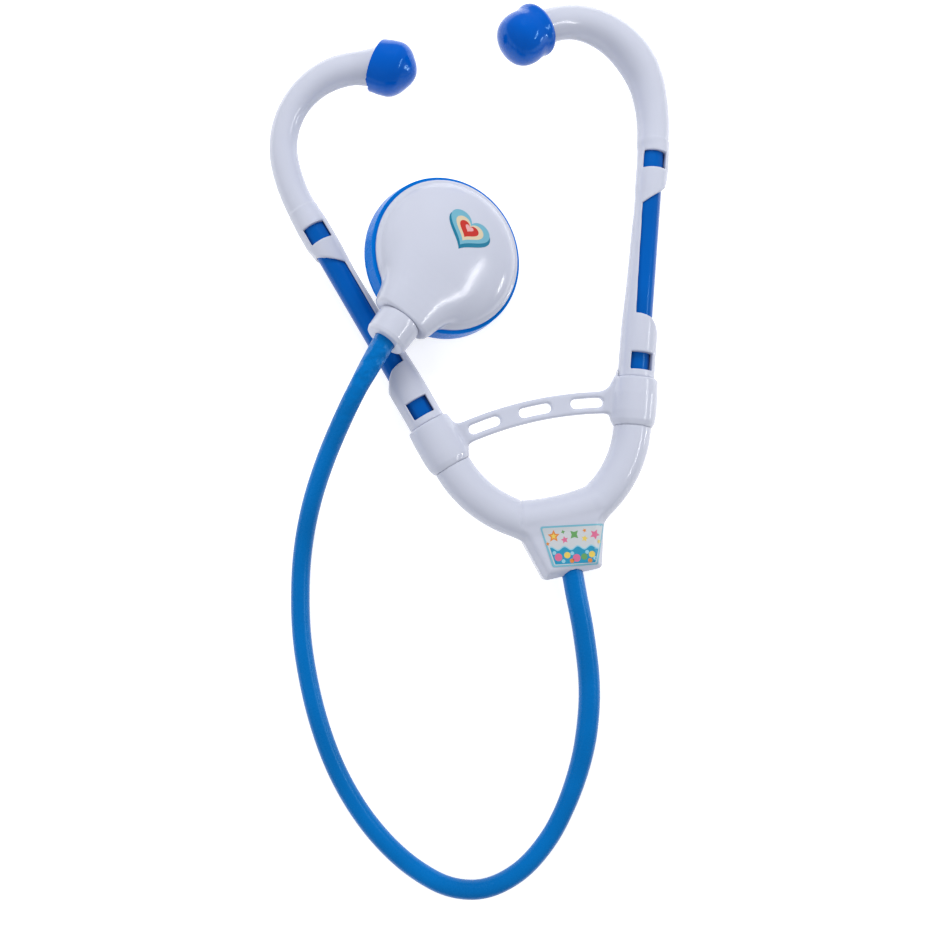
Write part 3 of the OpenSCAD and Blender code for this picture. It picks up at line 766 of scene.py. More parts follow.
def shell_distance(p, side):
    """Both half shells of an ear tube together, in the frame of its windows."""
    lean = sizes().hook_lean
    c, s = math.cos(lean), math.sin(lean)
    q = np.stack([p[..., 0] * c - p[..., 2] * s, p[..., 1], p[..., 0] * s + p[..., 2] * c], -1)
    c1, c2, corner, ahead = hook_points()
    end = HOOK_END[side]
    total = hook_length(side)
    swell = np.linspace(0, 1, 60)
    fat = averaged(HOOK_R * np.interp(swell, *zip(*(LEFT_SWELL if side < 0 else RIGHT_SWELL))), 7)
    places = np.linspace(-6, 80, 87)
    radius = np.interp(places, *zip(*SHELL_RADII))
    radius = np.where(places > 70, np.interp(places, (70, 75), (HOOK_R, fat[0])), radius)
    out, run = along_line(q, (0, 0, 0), (0, 1, 0))
    shift = np.interp(run, *RIGHT_SHIFT) if side > 0 else 0
    shank = np.hypot(q[..., 0] - shift, q[..., 2]) - np.interp(run, places, averaged(radius, 7))
    shank = np.maximum(shank, run - SHANK_END)
    d1, s1 = along_arc(q, c1, BEND_1[0], 0.0, BEND_1[1])
    d2, s2 = along_arc(q, c2, BEND_2[0], BEND_1[1], BEND_2[1])
    d3, s3 = along_line(q, corner, ahead)
    l1, l2 = BEND_1[0] * BEND_1[1], BEND_2[0] * BEND_2[1]
    first, second, third = (
        d - np.interp(at / total, swell, fat)
        for d, at in ((d1, s1), (d2, s2 + l1), (d3, s3 + l1 + l2)))
    third = np.maximum(third, np.abs(s3 - end / 2) - end / 2)
    stub = np.maximum(d3 - STUB_R, np.abs(s3 - end - 3) - 3.9)
    body = soft_min(shank, np.minimum(first, np.minimum(second, third)), 0.5)
    body = np.minimum(soft_max(body, SHELL_LOW - run, 0.4), stub)
    bore = np.maximum(out - BORE_R, run - LINER_HIGH - 0.2)
    cuts = polygon_distance(p[..., 0], p[..., 1], NOTCH)
    rise = np.where(p[..., 2] * side > 0, WINDOW_RISE, 0)
    for at in (0.0, WINDOW_PITCH + rise):
        wx, wy = np.abs(p[..., 0]) - WINDOW_W / 2, np.abs(p[..., 1] - at - 0.1) - WINDOW_H / 2 - 0.1
        box = np.hypot(np.maximum(wx, 0), np.maximum(wy, 0)) + np.minimum(np.maximum(wx, wy), 0)
        cuts = np.minimum(cuts, box)
    return np.maximum(soft_max(body, -cuts, 0.45), -bore)


class STETHOSCOPE_OT_ear_tubes(bpy.types.Operator):
    """Make the white shells and blue inner tubes of both ear tubes"""

    bl_idname = "stethoscope.ear_tubes"
    bl_label = "Ear tubes"

    def execute(self, context):
        lean = Matrix.Rotation(sizes().hook_lean, 4, "Y")
        for side, name in SIDES:
            body = name + "_ear_tube"
            place = arm_place(side)
            whole = mould(name + "_shell", lambda p: shell_distance(p, side), (-52, -7, -10),
                          (9, 134, 17), place, white_plastic(), side < 0)
            up = (place @ lean).to_3x3() @ Vector((0, 0, 1))
            at = place @ Vector((0, 0, 0))
            for half, node in zip(halves(whole, at, up, (name + "_shell_upper", name + "_shell_lower")),
                                  (name + "_shell_front", name + "_shell_back")):
                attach(half, body)
                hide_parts(node)
            profile = rounded([
                (LINER_BORE_R, LINER_LOW), (LINER_R, LINER_LOW), (LINER_R, LINER_HIGH),
                (LINER_BORE_R, LINER_HIGH), (LINER_BORE_R, LINER_LOW)], (0, 0.3, 0.3, 0, 0))
            tube = turned(name + "_blue_tube", profile, place @ TO_Y, blue_plastic(), 80)
            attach(tube, body)
            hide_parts(name + "_inner_tube")
        return {"FINISHED"}


TIP_BORE = 7.3
TIP_MOUTH_R = 6.8
# Lumps round an ear tip: height, number and phase
TIP_LUMPS = ((0.2, 2, 0.6), (0.14, 3, 1.1))
# Ear tips: tilt on the stub, lean of the middle line, radius, length and outline, where a point
# of the outline is a share of the radius and a share of the length
TIPS = {
    -1: (math.radians(25), 0.12, 8.7, 13.2,
         [(0.93, 0), (0.955, 0.012), (0.965, 0.06), (0.98, 0.14), (1, 0.25), (1.005, 0.36),
          (1, 0.47), (0.965, 0.56), (0.89, 0.65), (0.775, 0.74), (0.62, 0.82), (0.45, 0.9),
          (0.27, 0.963), (0.12, 0.993), (0, 1)]),
    1: (math.radians(15), 0.02, 8.6, 14.7,
        [(0.8, 0), (0.89, 0.02), (0.95, 0.06), (0.985, 0.12), (0.975, 0.19), (0.955, 0.27),
         (0.965, 0.36), (0.985, 0.46), (0.975, 0.57), (0.925, 0.69), (0.83, 0.79), (0.69, 0.87),
         (0.5, 0.935), (0.29, 0.978), (0.12, 0.996), (0, 1)]),
}


def tip_distance(p, side):
    """A soft tip a little out of round, with Z along the stub."""
    tilt, lean, radius, length, line = TIPS[side]
    c, s = math.cos(tilt), math.sin(tilt)
    x, y, z = p[..., 0], p[..., 1], p[..., 2]
    w = z * c - x * s + radius * s / 2
    u = x * c + z * s - lean * np.maximum(w, 0)
    turn = np.arctan2(y, u)
    lump = sum(high * np.cos(n * turn + phase * side) for high, n, phase in TIP_LUMPS)
    lump = lump * np.clip(w / 5, 0, 1) * np.clip((length - w) / 4, 0, 1)
    outline = [(radius * r, length * t) for r, t in smooth_line(line, 2)]
    left = [(-r, t) for r, t in reversed(outline[:-1])]
    shape = polygon_distance(np.hypot(u, y) + lump, w, outline + left)
    bore = np.maximum(np.hypot(x, y) - BORE_R, z - TIP_BORE)
    end = np.maximum(np.hypot(x, y) - TIP_MOUTH_R, z - 0.05)
    return soft_max(np.maximum(shape, -bore), -end, 0.3)


class STETHOSCOPE_OT_ear_tips(bpy.types.Operator):
    """Make the soft blue ear tips"""

    bl_idname = "stethoscope.ear_tips"
    bl_label = "Ear tips"

    def execute(self, context):
        corner, ahead = hook_points()[2:]
        turn = BEND_1[1] + BEND_2[1]
        soft = plastic("Soft tip", colours().tip_blue, (0.1, 0.18), tone=0.1, wave=140.0,
                       bump=0.00004, scuffs=0.0, gloss=0.4, sheen=BLUE_SHEEN)
        for side, name in SIDES:
            tip = Vector(corner + HOOK_END[side] * ahead) * MM
            place = (arm_place(side) @ Matrix.Rotation(sizes().hook_lean, 4, "Y")
                     @ Matrix.Translation(tip) @ Matrix.Rotation(turn, 4, "Z") @ TO_Y)
            obj = mould(name + "_soft_tip", lambda p: tip_distance(p, side), (-15, -10, -6),
                        (13, 10, 17), place, soft, side < 0)
            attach(obj, name + "_ear_tube")
            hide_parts(name + "_ear_tip")
        return {"FINISHED"}


# Yoke and bridge

YOKE_STUB_R = 3.93
YOKE_MID_X = 12.4
YOKE_SAG = 1.1
LIMB_TURN = math.radians(43.3)
BLOCK_FRONT = 4.9
BLOCK_LOW = 8.8
BLOCK_LOW_HALF = 9.2
BLOCK_HIGH_HALF = 14.1
BLOCK_CORNER = 1.6
# Share of the block's width that lies inside the rounding of its corners
BLOCK_CORE = 0.885
# Tapers of the block. Front: height where it starts, how far it goes in. Back: height where
# it starts, its depth, how far it goes in.
FRONT_TAPER = (1.6, 2.3)
BACK_TAPER = (-4.0, 2.9, 0.5)
# Roundings of the block's front and back edges, and its fillet to the tube
BLOCK_FRONT_EDGE = 1.1
BLOCK_BACK_EDGE = 0.7
BLOCK_FILLET = 2.2
# Radius of the yoke's tube where the block's upper edge meets it
TUBE_R = 6.0
# Direction across the joint line between the left limb and the middle stretch
CREASE = (0.974, 0.219)
CREASE_DEPTH = 0.3
CREASE_WIDTH = 0.5


def yoke_lines():
    """Lean, radius and centre of the limbs, and the middle stretch's height and bend."""
    h = sizes()
    lean = h.arm_lean
    start = (h.arm_x / MM + COLLAR_END * math.sin(lean), h.arm_y / MM + COLLAR_END * math.cos(lean))
    r = (start[0] - YOKE_MID_X) / (math.cos(lean) - math.cos(lean + LIMB_TURN))
    centre = (start[0] - r * math.cos(lean), start[1] + r * math.sin(lean))
    y = centre[1] - r * math.sin(lean + LIMB_TURN)
    mid_r = (YOKE_MID_X ** 2 + YOKE_SAG ** 2) / (2 * YOKE_SAG)
    return lean, r, centre, y, mid_r


def along_arm(q):
    """Distance from the axis of an ear tube, and how far along it each point is."""
    h = sizes()
    return along_line(q, (h.arm_x / MM, h.arm_y / MM, 0),
                      (math.sin(h.arm_lean), math.cos(h.arm_lean), 0))


def yoke_distance(p):
    """Both halves of the yoke together, with the middle plane at z=0."""
    h = sizes()
    lean, r, centre, y, mid_r = yoke_lines()
    q = p.copy()
    q[..., 0] = np.abs(q[..., 0])
    limb, _ = along_arc(q, (*centre, 0), r, -lean, -LIMB_TURN)
    half = math.asin(YOKE_MID_X / mid_r)
    top = y + mid_r * math.cos(half)
    mid, _ = along_arc(q, (0, top, 0), mid_r, -math.pi / 2, half)
    tube = soft_min(limb, mid, 0.3) - h.yoke_r / MM
    axis, run = along_arm(q)
    tube = soft_max(tube, np.where(q[..., 0] > 20, run - COLLAR_END, -9.0), 0.25)
    stub = np.maximum(axis - YOKE_STUB_R, np.abs(run - COLLAR_END - 3.0) - 4.6)
    z = p[..., 2]
    low_y = top - mid_r - math.sqrt(TUBE_R ** 2 - BLOCK_FRONT ** 2) + 0.9
    outline = [(-BLOCK_LOW_HALF, -BLOCK_LOW), (BLOCK_LOW_HALF, -BLOCK_LOW),
               (BLOCK_HIGH_HALF, low_y), (-BLOCK_HIGH_HALF, low_y)]
    flat = polygon_distance(p[..., 0], p[..., 1], [
        (x * BLOCK_CORE, at + (BLOCK_CORNER if at < 0 else 0)) for x, at in outline]) - BLOCK_CORNER
    high, front_in = FRONT_TAPER
    low, depth, back_in = BACK_TAPER
    inset = np.where(z > high, (z - high) / (BLOCK_FRONT - high) * front_in, np.where(
        z < low, (low - z) / depth * back_in, 0))
    side = (flat + inset) * 0.86
    block = soft_max(side, z - BLOCK_FRONT, BLOCK_FRONT_EDGE)
    block = soft_max(block, -z - h.mid_z / MM, BLOCK_BACK_EDGE)
    body = np.minimum(soft_min(tube, block, BLOCK_FILLET), stub)
    crease = (p[..., 0] + YOKE_MID_X) * CREASE[0] - (p[..., 1] - y) * CREASE[1]
    groove = CREASE_DEPTH * np.exp(-(crease / CREASE_WIDTH) ** 2)
    body = body + groove * np.clip(p[..., 1] - y + 3, 0, 1)
    hole, _ = along_line(p, (0, 0, 0), (0, 1, 0))
    socket = np.maximum(hole - SOCKET_R, p[..., 1] - 0.3)
    return soft_max(body, -socket, 0.4)


class STETHOSCOPE_OT_yoke(bpy.types.Operator):
    """Make the yoke with its block"""

    bl_idname = "stethoscope.yoke"
    bl_label = "Yoke"

    def execute(self, context):
        middle = (0, 0, sizes().mid_z)
        whole = mould("yoke", yoke_distance, (-41, -11, -8), (41, 43, 8),
                      Matrix.Translation(middle), white_plastic())
        for half, node in zip(halves(whole, middle, (0, 0, 1), ("yoke_upper", "yoke_lower")),
                              ("yoke_front", "yoke_back")):
            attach(half, "headset")
            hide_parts(node)
        return {"FINISHED"}


COLLAR_BORE_R = 3.98
COLLAR_BULGE = 0.4
COLLAR_CORNER = 0.7
STRAP_RISE = 4.4
STRAP_HALF = 3.5
SLOT_HALF = 3.7
SLOT_R = 1.6
# Place of the outer slots, as a share of the way to the tube
SLOT_PLACE = 0.527
# Plate at a collar: its place below the windows, half length and fillet, each with what
# changes on the right side
PLATE_PLACE = (12.2, 1.7)
PLATE_HALF = (5.5, 3.0)
PLATE_FILLET = (4.0, 5.0)
STRAP_EDGE = 1.0
STRAP_FILLET = 1.2


def bridge_distance(p):
    """The collars and the strap, with the middle plane at z=0."""
    h = sizes()
    lean = h.arm_lean
    q = p.copy()
    q[..., 0] = np.abs(q[..., 0])
    axis, run = along_arm(q)
    r = h.collar_r / MM
    profile = [(0, COLLAR_END), (6.45, COLLAR_END), (r + 0.1, COLLAR_END + 1.3),
               (r + COLLAR_BULGE, COLLAR_END + 4), (r + COLLAR_BULGE, COLLAR_TOP - 4.5),
               (r + 0.1, COLLAR_TOP), (0, COLLAR_TOP)]
    collar = polygon_distance(axis, run, [
        (x - COLLAR_CORNER if x else -9, y + (COLLAR_CORNER if y < -15 else -COLLAR_CORNER))
        for x, y in profile]) - COLLAR_CORNER
    collar = soft_max(collar, -p[..., 2] - h.mid_z / MM, 0.2)
    mid_s = (COLLAR_TOP + COLLAR_END) / 2
    cx, cy = (h.arm_x / MM + mid_s * math.sin(lean), h.arm_y / MM + mid_s * math.cos(lean))
    strap_r = (cx * cx + STRAP_RISE * STRAP_RISE) / (2 * STRAP_RISE)
    c_y = cy + STRAP_RISE - strap_r
    rho = np.hypot(q[..., 0], q[..., 1] - c_y)
    angle = np.arctan2(q[..., 0], q[..., 1] - c_y)
    end = math.asin(cx / strap_r)
    arch = np.maximum(np.abs(rho - strap_r) - STRAP_HALF, (angle - end) * strap_r)
    x_off = (q[..., 0] - h.arm_x / MM) * math.cos(lean) - (q[..., 1] - h.arm_y / MM) * math.sin(lean)
    right = np.clip(p[..., 0] / 6 + 0.5, 0, 1)
    plate = np.abs(run + PLATE_PLACE[0] - PLATE_PLACE[1] * right)
    plate = np.maximum(np.abs(x_off) - r * 0.9, plate - PLATE_HALF[0] - PLATE_HALF[1] * right)
    upper = np.clip((run + 11) / 8 + 0.5, 0, 1)
    flat = soft_min(arch, plate, PLATE_FILLET[0] + PLATE_FILLET[1] * right * upper)
    for at in (0.0, math.asin(SLOT_PLACE * cx / strap_r)):
        along = (angle - at) * strap_r
        slot = np.hypot(np.maximum(np.abs(along) - SLOT_HALF, 0), rho - strap_r) - SLOT_R
        flat = soft_max(flat, -slot, 0.3)
    flat = np.maximum(flat, -np.maximum(-6.1 - x_off, COLLAR_TOP - 0.3 - run))
    strap = soft_max(flat, np.abs(p[..., 2]) - h.strap_t / 2 / MM, STRAP_EDGE)
    body = soft_min(collar, strap, STRAP_FILLET)
    return soft_max(body, COLLAR_BORE_R - axis, 0.3)


class STETHOSCOPE_OT_bridge(bpy.types.Operator):
    """Make the bridge with its collars and slotted strap"""

    bl_idname = "stethoscope.bridge"
    bl_label = "Bridge"

    def execute(self, context):
        obj = mould("collar_bridge", bridge_distance, (-44, 28, -8), (44, 56, 8),
                    Matrix.Translation((0, 0, sizes().mid_z)), white_plastic())
        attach(obj, "headset")
        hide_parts("bridge")
        return {"FINISHED"}


# Chest piece


# Side of the cup from its foot, in shares of its radius and height
CUP_SIDE = [(0.955, 0), (0.975, 0.02), (0.99, 0.1), (1, 0.25), (0.997, 0.45), (0.987, 0.7),
            (0.978, 0.97), (0.972, 1)]
# Half width and half height of the neck at places along the stem
NECK_X = (10, 13.5, 17, 20, 22.7, 25, NECK_END)
NECK_WIDTH = (12.2, 12.0, 11.5, 11.1, 10.7, 10.2, 9.3)
NECK_HEIGHT = (6.1, 6.5, 6.9, 7.1, 7.1, 7, 6.8)
# Power that squares the neck's section, and places on the stem where neck and bore start
NECK_POWER = 2.5
NECK_START = 13
NECK_BORE_START = 20
# Fillet between neck and cap: heights above the cup, and widths at them
NECK_FILLET = ((2, 7), (1.3, 3.2))
NECK_BORE_R = 4.03
SPIGOT_R = 3.95


# The cap's rim: height, rounding and step to the dome. The dome: height of its middle, and
# what is added to its own height.
RIM_H = 1.5
RIM_EDGE = 0.9
RIM_STEP = 1.3
DOME_MIDDLE = 1.2
DOME_EXTRA = 0.3


def cap_distance(p):
    """The white cap with its flared neck."""
    c = chest()
    x, y, z = p[..., 0], p[..., 1], p[..., 2]
    cup_h, stem = c.cup_h / MM, c.stem_h / MM
    r, dome = c.cap_r / MM, c.dome_h / MM
    rho = np.hypot(x, y)
    rim = soft_max(rho - r, z - cup_h - RIM_H, RIM_EDGE)
    inner = r - RIM_STEP
    tall = dome + DOME_EXTRA
    blob = (np.sqrt((rho / inner) ** 2 + ((z - cup_h - DOME_MIDDLE) / tall) ** 2) - 1) * tall
    body = soft_min(rim, blob, RIM_EDGE)
    width, height = (np.interp(x, NECK_X, half) for half in (NECK_WIDTH, NECK_HEIGHT))
    start = np.maximum(NECK_START - x, 0) / NECK_START
    e = sum(share ** NECK_POWER for share in (
        np.abs(y) / width, np.abs(z - stem) / height, start)) ** (1 / NECK_POWER)
    neck = soft_max((e - 1) * height * 0.85, x - NECK_END, 0.9)
    heights, widths = NECK_FILLET
    body = soft_min(body, neck, np.interp(z, [cup_h + up for up in heights], widths))
    body = np.maximum(body, x - NECK_END)
    below = np.maximum(rho - (c.cup_r / MM + 0.2), z - cup_h)
    hole = np.maximum(np.hypot(y, z - stem) - NECK_BORE_R, NECK_BORE_START - x)
    return np.maximum(soft_max(body, -below, 0.25), -hole)


# Radii of the hollow under the cap and in the cup, wall at the foot, and the diaphragm's seat:
# how far it reaches in, and its height
RIM_BORE_R = 21.85
CUP_BORE_R = 20.1
FOOT_WALL = 3.6
SEAT_IN = 1.8
SEAT_H = 1.4
FILM_LOW = 0.6
FILM_HIGH = 1.2
# Depth of the neck sleeve from its end to the floor of the hose's socket, and its spigot
SOCKET_DEPTH = 9.2
SPIGOT_L = 1.6


class STETHOSCOPE_OT_chest_piece(bpy.types.Operator):
    """Make the chest piece: cap, cup, diaphragm and neck sleeve"""

    bl_idname = "stethoscope.chest_piece"
    bl_label = "Chest piece"

    def execute(self, context):
        c = chest()
        place = head_place()
        cap = mould("white_cap", cap_distance, (-26, -26, -1), (29, 26, 19), place, white_plastic())
        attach(cap, "chest_piece")
        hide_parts("chest_cap")
        r, hgt = c.cup_r / MM, c.cup_h / MM
        side = [(r * a, hgt * b) for a, b in smooth_line(CUP_SIDE, 3)]
        foot = r - FOOT_WALL
        profile = side + rounded([
            (RIM_BORE_R, hgt), (RIM_BORE_R, hgt + 1.4), (CUP_BORE_R, hgt + 1.4), (CUP_BORE_R, 5.6),
            (foot - SEAT_IN, 3.8), (foot - SEAT_IN, SEAT_H), (foot, SEAT_H), (foot, 0), side[0]],
            (0, 0.2, 0.2, 0, 0, 0, 0, 0.25, 0))
        cup_mat = plastic("Cup blue", colours().cup_blue, (0.2, 0.3), tone=0.08, wave=60.0,
                          gloss=0.12, sheen=BLUE_SHEEN)
        cup = turned("blue_cup", profile, place, cup_mat, 160)
        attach(cup, "chest_piece")
        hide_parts("chest_cup")
        film = rounded([(0, FILM_LOW), (foot - 0.05, FILM_LOW), (foot - 0.05, FILM_HIGH),
                        (0, FILM_HIGH)], (0, 0.15, 0.15, 0))
        sheet = plastic("Diaphragm", (0.72, 0.74, 0.78), (0.3, 0.45), tone=0.03, wave=40.0,
                        bump=0.00006, scuffs=0.5)
        disc = turned("listening_film", film, place, sheet, 128)
        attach(disc, "chest_piece")
        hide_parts("diaphragm")
        end = NECK_END + SLEEVE_L
        ring = rounded([
            (SOCKET_R, end - SOCKET_DEPTH), (SOCKET_R, end), (6.3, end), (6.75, end - 1.2),
            (7.0, NECK_END + 2), (6.95, NECK_END + 0.2), (SPIGOT_R, NECK_END + 0.2),
            (SPIGOT_R, NECK_END - SPIGOT_L), (LINER_BORE_R, NECK_END - SPIGOT_L),
            (LINER_BORE_R, end - SOCKET_DEPTH), (SOCKET_R, end - SOCKET_DEPTH)],
            (0, 0.3, 0.6, 1.2, 1.0, 0.3, 0, 0, 0, 0, 0))
        stem = Matrix.Translation((0, 0, c.stem_h)) @ TO_X
        sleeve = turned("white_neck_sleeve", ring, place @ stem, white_plastic(), 96)
        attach(sleeve, "headset")
        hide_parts("neck_sleeve")
        return {"FINISHED"}


# Stickers


# Place of the heart on the cap, its turn and its width
HEART = ((-6.6, -0.5), math.radians(95), 16.0)
# Layers of the heart from below: ink, colour, share of the width, shift in shares, lift
HEART_LAYERS = [
    ("teal", (0.005, 0.19, 0.32), 1.0, (0.012, -0.05), 0.03),
    ("light blue", (0.17, 0.45, 0.58), 0.94, (-0.005, 0.02), 0.06),
    ("cream", (0.72, 0.6, 0.42), 0.66, (-0.005, 0.02), 0.08),
    ("red", (0.56, 0.03, 0.02), 0.45, (-0.01, 0.03), 0.10),
    ("pink", (0.8, 0.42, 0.42), 0.19, (-0.01, 0.075), 0.12),
]


def print_ink(name, colour):
    """Glossy printed ink with a slight dot grain."""
    return plastic(name, colour, (0.3, 0.4), tone=0.05, wave=200.0, bump=0.00001, scuffs=0.3)


def heart_line(n=96):
    """Outline of a heart one unit wide, with its point towards -Y."""
    out = []
    for i in range(n):
        t = math.tau * i / n
        x = 16 * math.sin(t) ** 3
        y = 13 * math.cos(t) - 5 * math.cos(2 * t) - 2 * math.cos(3 * t) - math.cos(4 * t)
        out.append((x / 32, (y + 2.5) / 40))
    return np.column_stack([averaged(axis, 9, "wrap") for axis in np.array(out).T])


def surface_z(distance, xy, start):
    """Height of a shape's outside at points of its own frame, found from a height above it."""
    z = np.full(len(xy), start)
    for _ in range(60):
        z -= np.clip(distance(np.column_stack([xy, z])), -0.5, 0.5) * 0.9
    return z


class STETHOSCOPE_OT_heart(bpy.types.Operator):
    """Make the heart sticker on the cap"""

    bl_idname = "stethoscope.heart"
    bl_label = "Heart sticker"

    def execute(self, context):
        line = heart_line()
        n = len(line)
        at, turn, wide = HEART
        spin = np.array([[math.cos(turn), -math.sin(turn)], [math.sin(turn), math.cos(turn)]])
        inks = [print_ink("Heart " + name, colour) for name, colour, *_ in HEART_LAYERS]
        rings = (1.0, 0.75, 0.5, 0.25)
        points, faces, slots = [], [], []
        for ink, (_, _, scale, shift, lift) in enumerate(HEART_LAYERS):
            base = len(points)
            flat = [wide * (line * scale * ring + shift) for ring in rings]
            flat = np.concatenate([*flat, [wide * np.array(shift)]]) @ spin.T + at
            z = surface_z(cap_distance, flat, 16.0) + lift
            edge = base + len(z)
            points += [*np.column_stack([flat, z]), *np.column_stack([flat[:n], z[:n] - lift - 0.02])]
            last = base + (len(rings) - 1) * n
            for k in range(base, last, n):
                faces += band(k, k + n, n)
            for a, b, c, d in band(base, edge, n):
                faces += [(a - base + last, b - base + last, last + n), (b, a, d, c)]
            slots += [ink] * (len(faces) - len(slots))
        place = head_place()
        obj = new_piece("printed_heart", placed(points, place), faces, inks, 60)
        obj.data.polygons.foreach_set("material_index", slots)
        up = place.to_3x3() @ Vector((0, 0, 1))
        if obj.data.polygons[0].normal.dot(up) < 0:
            obj.data.flip_normals()
        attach(obj, "chest_piece")
        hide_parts("heart_sticker")
        return {"FINISHED"}


def bubble_tree():
    """Geometry Nodes tree that sets round bubbles on the points of a line."""
    tree = bpy.data.node_groups.get("Bubble row")
    if tree:
        return tree
    tree, enter, leave = new_group(
        "Bubble row", "GeometryNodeTree",
        [("Points", "Geometry"), ("Radius", "Float", 0.001), ("Finish", "Material")],
        [("Bubbles", "Geometry")])
    disc = make_node(tree, "GeometryNodeMeshCircle", {
        "Vertices": 28, "Radius": enter.outputs["Radius"]}, fill_type="NGON")
    many = make_node(tree, "GeometryNodeInstanceOnPoints", {
        "Points": enter.outputs["Points"], "Instance": disc.outputs["Mesh"]})
    return finish_group(tree, many.outputs[0], enter.outputs["Finish"], leave)


# Label: place, turn, half widths of its upper and lower edges, and height
LABEL = {"x": 1.75, "y": 0.0, "turn": math.radians(-9.5), "top": 10.5, "low": 7.2, "high": 12.8}
# The waves on the label: height of their middle line, height, rate and width of their foam
SEA_LEVEL = -0.9
WAVE_H = 0.55
WAVE_RATE = 1.5
FOAM_W = 0.42
# Radius of a star's inner corners, as a share of its size
STAR_WAIST = 0.48
# Heights of the label's layers above the block
CARD, GROUND, PRINT, CREST, TOP_PRINT = 0.15, 0.16, 0.17, 0.175, 0.18
# Stars of the label: ink, place, size, arms and turn
STARS = [
    ("orange", -6.3, 3.2, 2.0, 5, 0.3), ("yellow", -6.3, 3.2, 1.0, 5, 0.3),
    ("pink", 6.7, 3.1, 1.7, 5, 1.1), ("green", 0.2, 3.4, 1.7, 4, 0.78),
    ("yellow", 3.4, 2.0, 1.1, 5, 0.1), ("pink", -2.9, 1.9, 1.2, 5, 0.5),
    ("orange", 3.5, 4.5, 0.7, 5, 0.7), ("green", -3.3, 4.4, 0.7, 4, 0.2),
    ("orange", -8.3, 0.9, 0.7, 5, 0.2), ("yellow", 8.0, 0.8, 0.8, 5, 0.9)]
# Bubbles of the label: ink, radius in metres and places
BUBBLES = [
    ("pink", 0.0012, [(-5.2, -3.4), (0.5, -3.9)]), ("yellow", 0.0010, [(-2.4, -2.9), (5.4, -3.0)]),
    ("green", 0.0010, [(2.9, -3.6)]), ("orange", 0.0007, [(-1.0, -4.7), (4.7, -4.9)]),
    ("foam", 0.0006, [(-3.7, -4.7), (-0.8, -2.4), (3.9, -2.2), (6.3, -4.2), (-6.4, -2.0)])]
LABEL_INKS = {
    "border": (0.2, 0.5, 0.62), "ground": (0.6, 0.63, 0.66), "sea": (0.02, 0.3, 0.5),
    "foam": (0.3, 0.6, 0.72), "orange": (0.75, 0.25, 0.05), "yellow": (0.8, 0.6, 0.12),
    "pink": (0.72, 0.16, 0.3), "green": (0.14, 0.36, 0.12),
}


def label_outline(inset):
    """Corners of the label, inset by a margin, in its own frame."""
    t, b, hh = LABEL["top"] - inset * 1.1, LABEL["low"] - inset * 1.1, LABEL["high"] / 2 - inset
    return [(-b, -hh), (b, -hh), (t, hh), (-t, hh)]


def seat_label(mesh):
    """Lays the flat label on the yoke's outside, which curves near its top edge."""
    count = len(mesh.vertices)
    co = np.empty(count * 3)
    mesh.vertices.foreach_get("co", co)
    co = co.reshape(-1, 3)
    co[:, 2] += surface_z(yoke_distance, co[:, :2] / MM, 8.0) * MM + sizes().mid_z
    mesh.vertices.foreach_set("co", co.ravel())
    mesh.update()


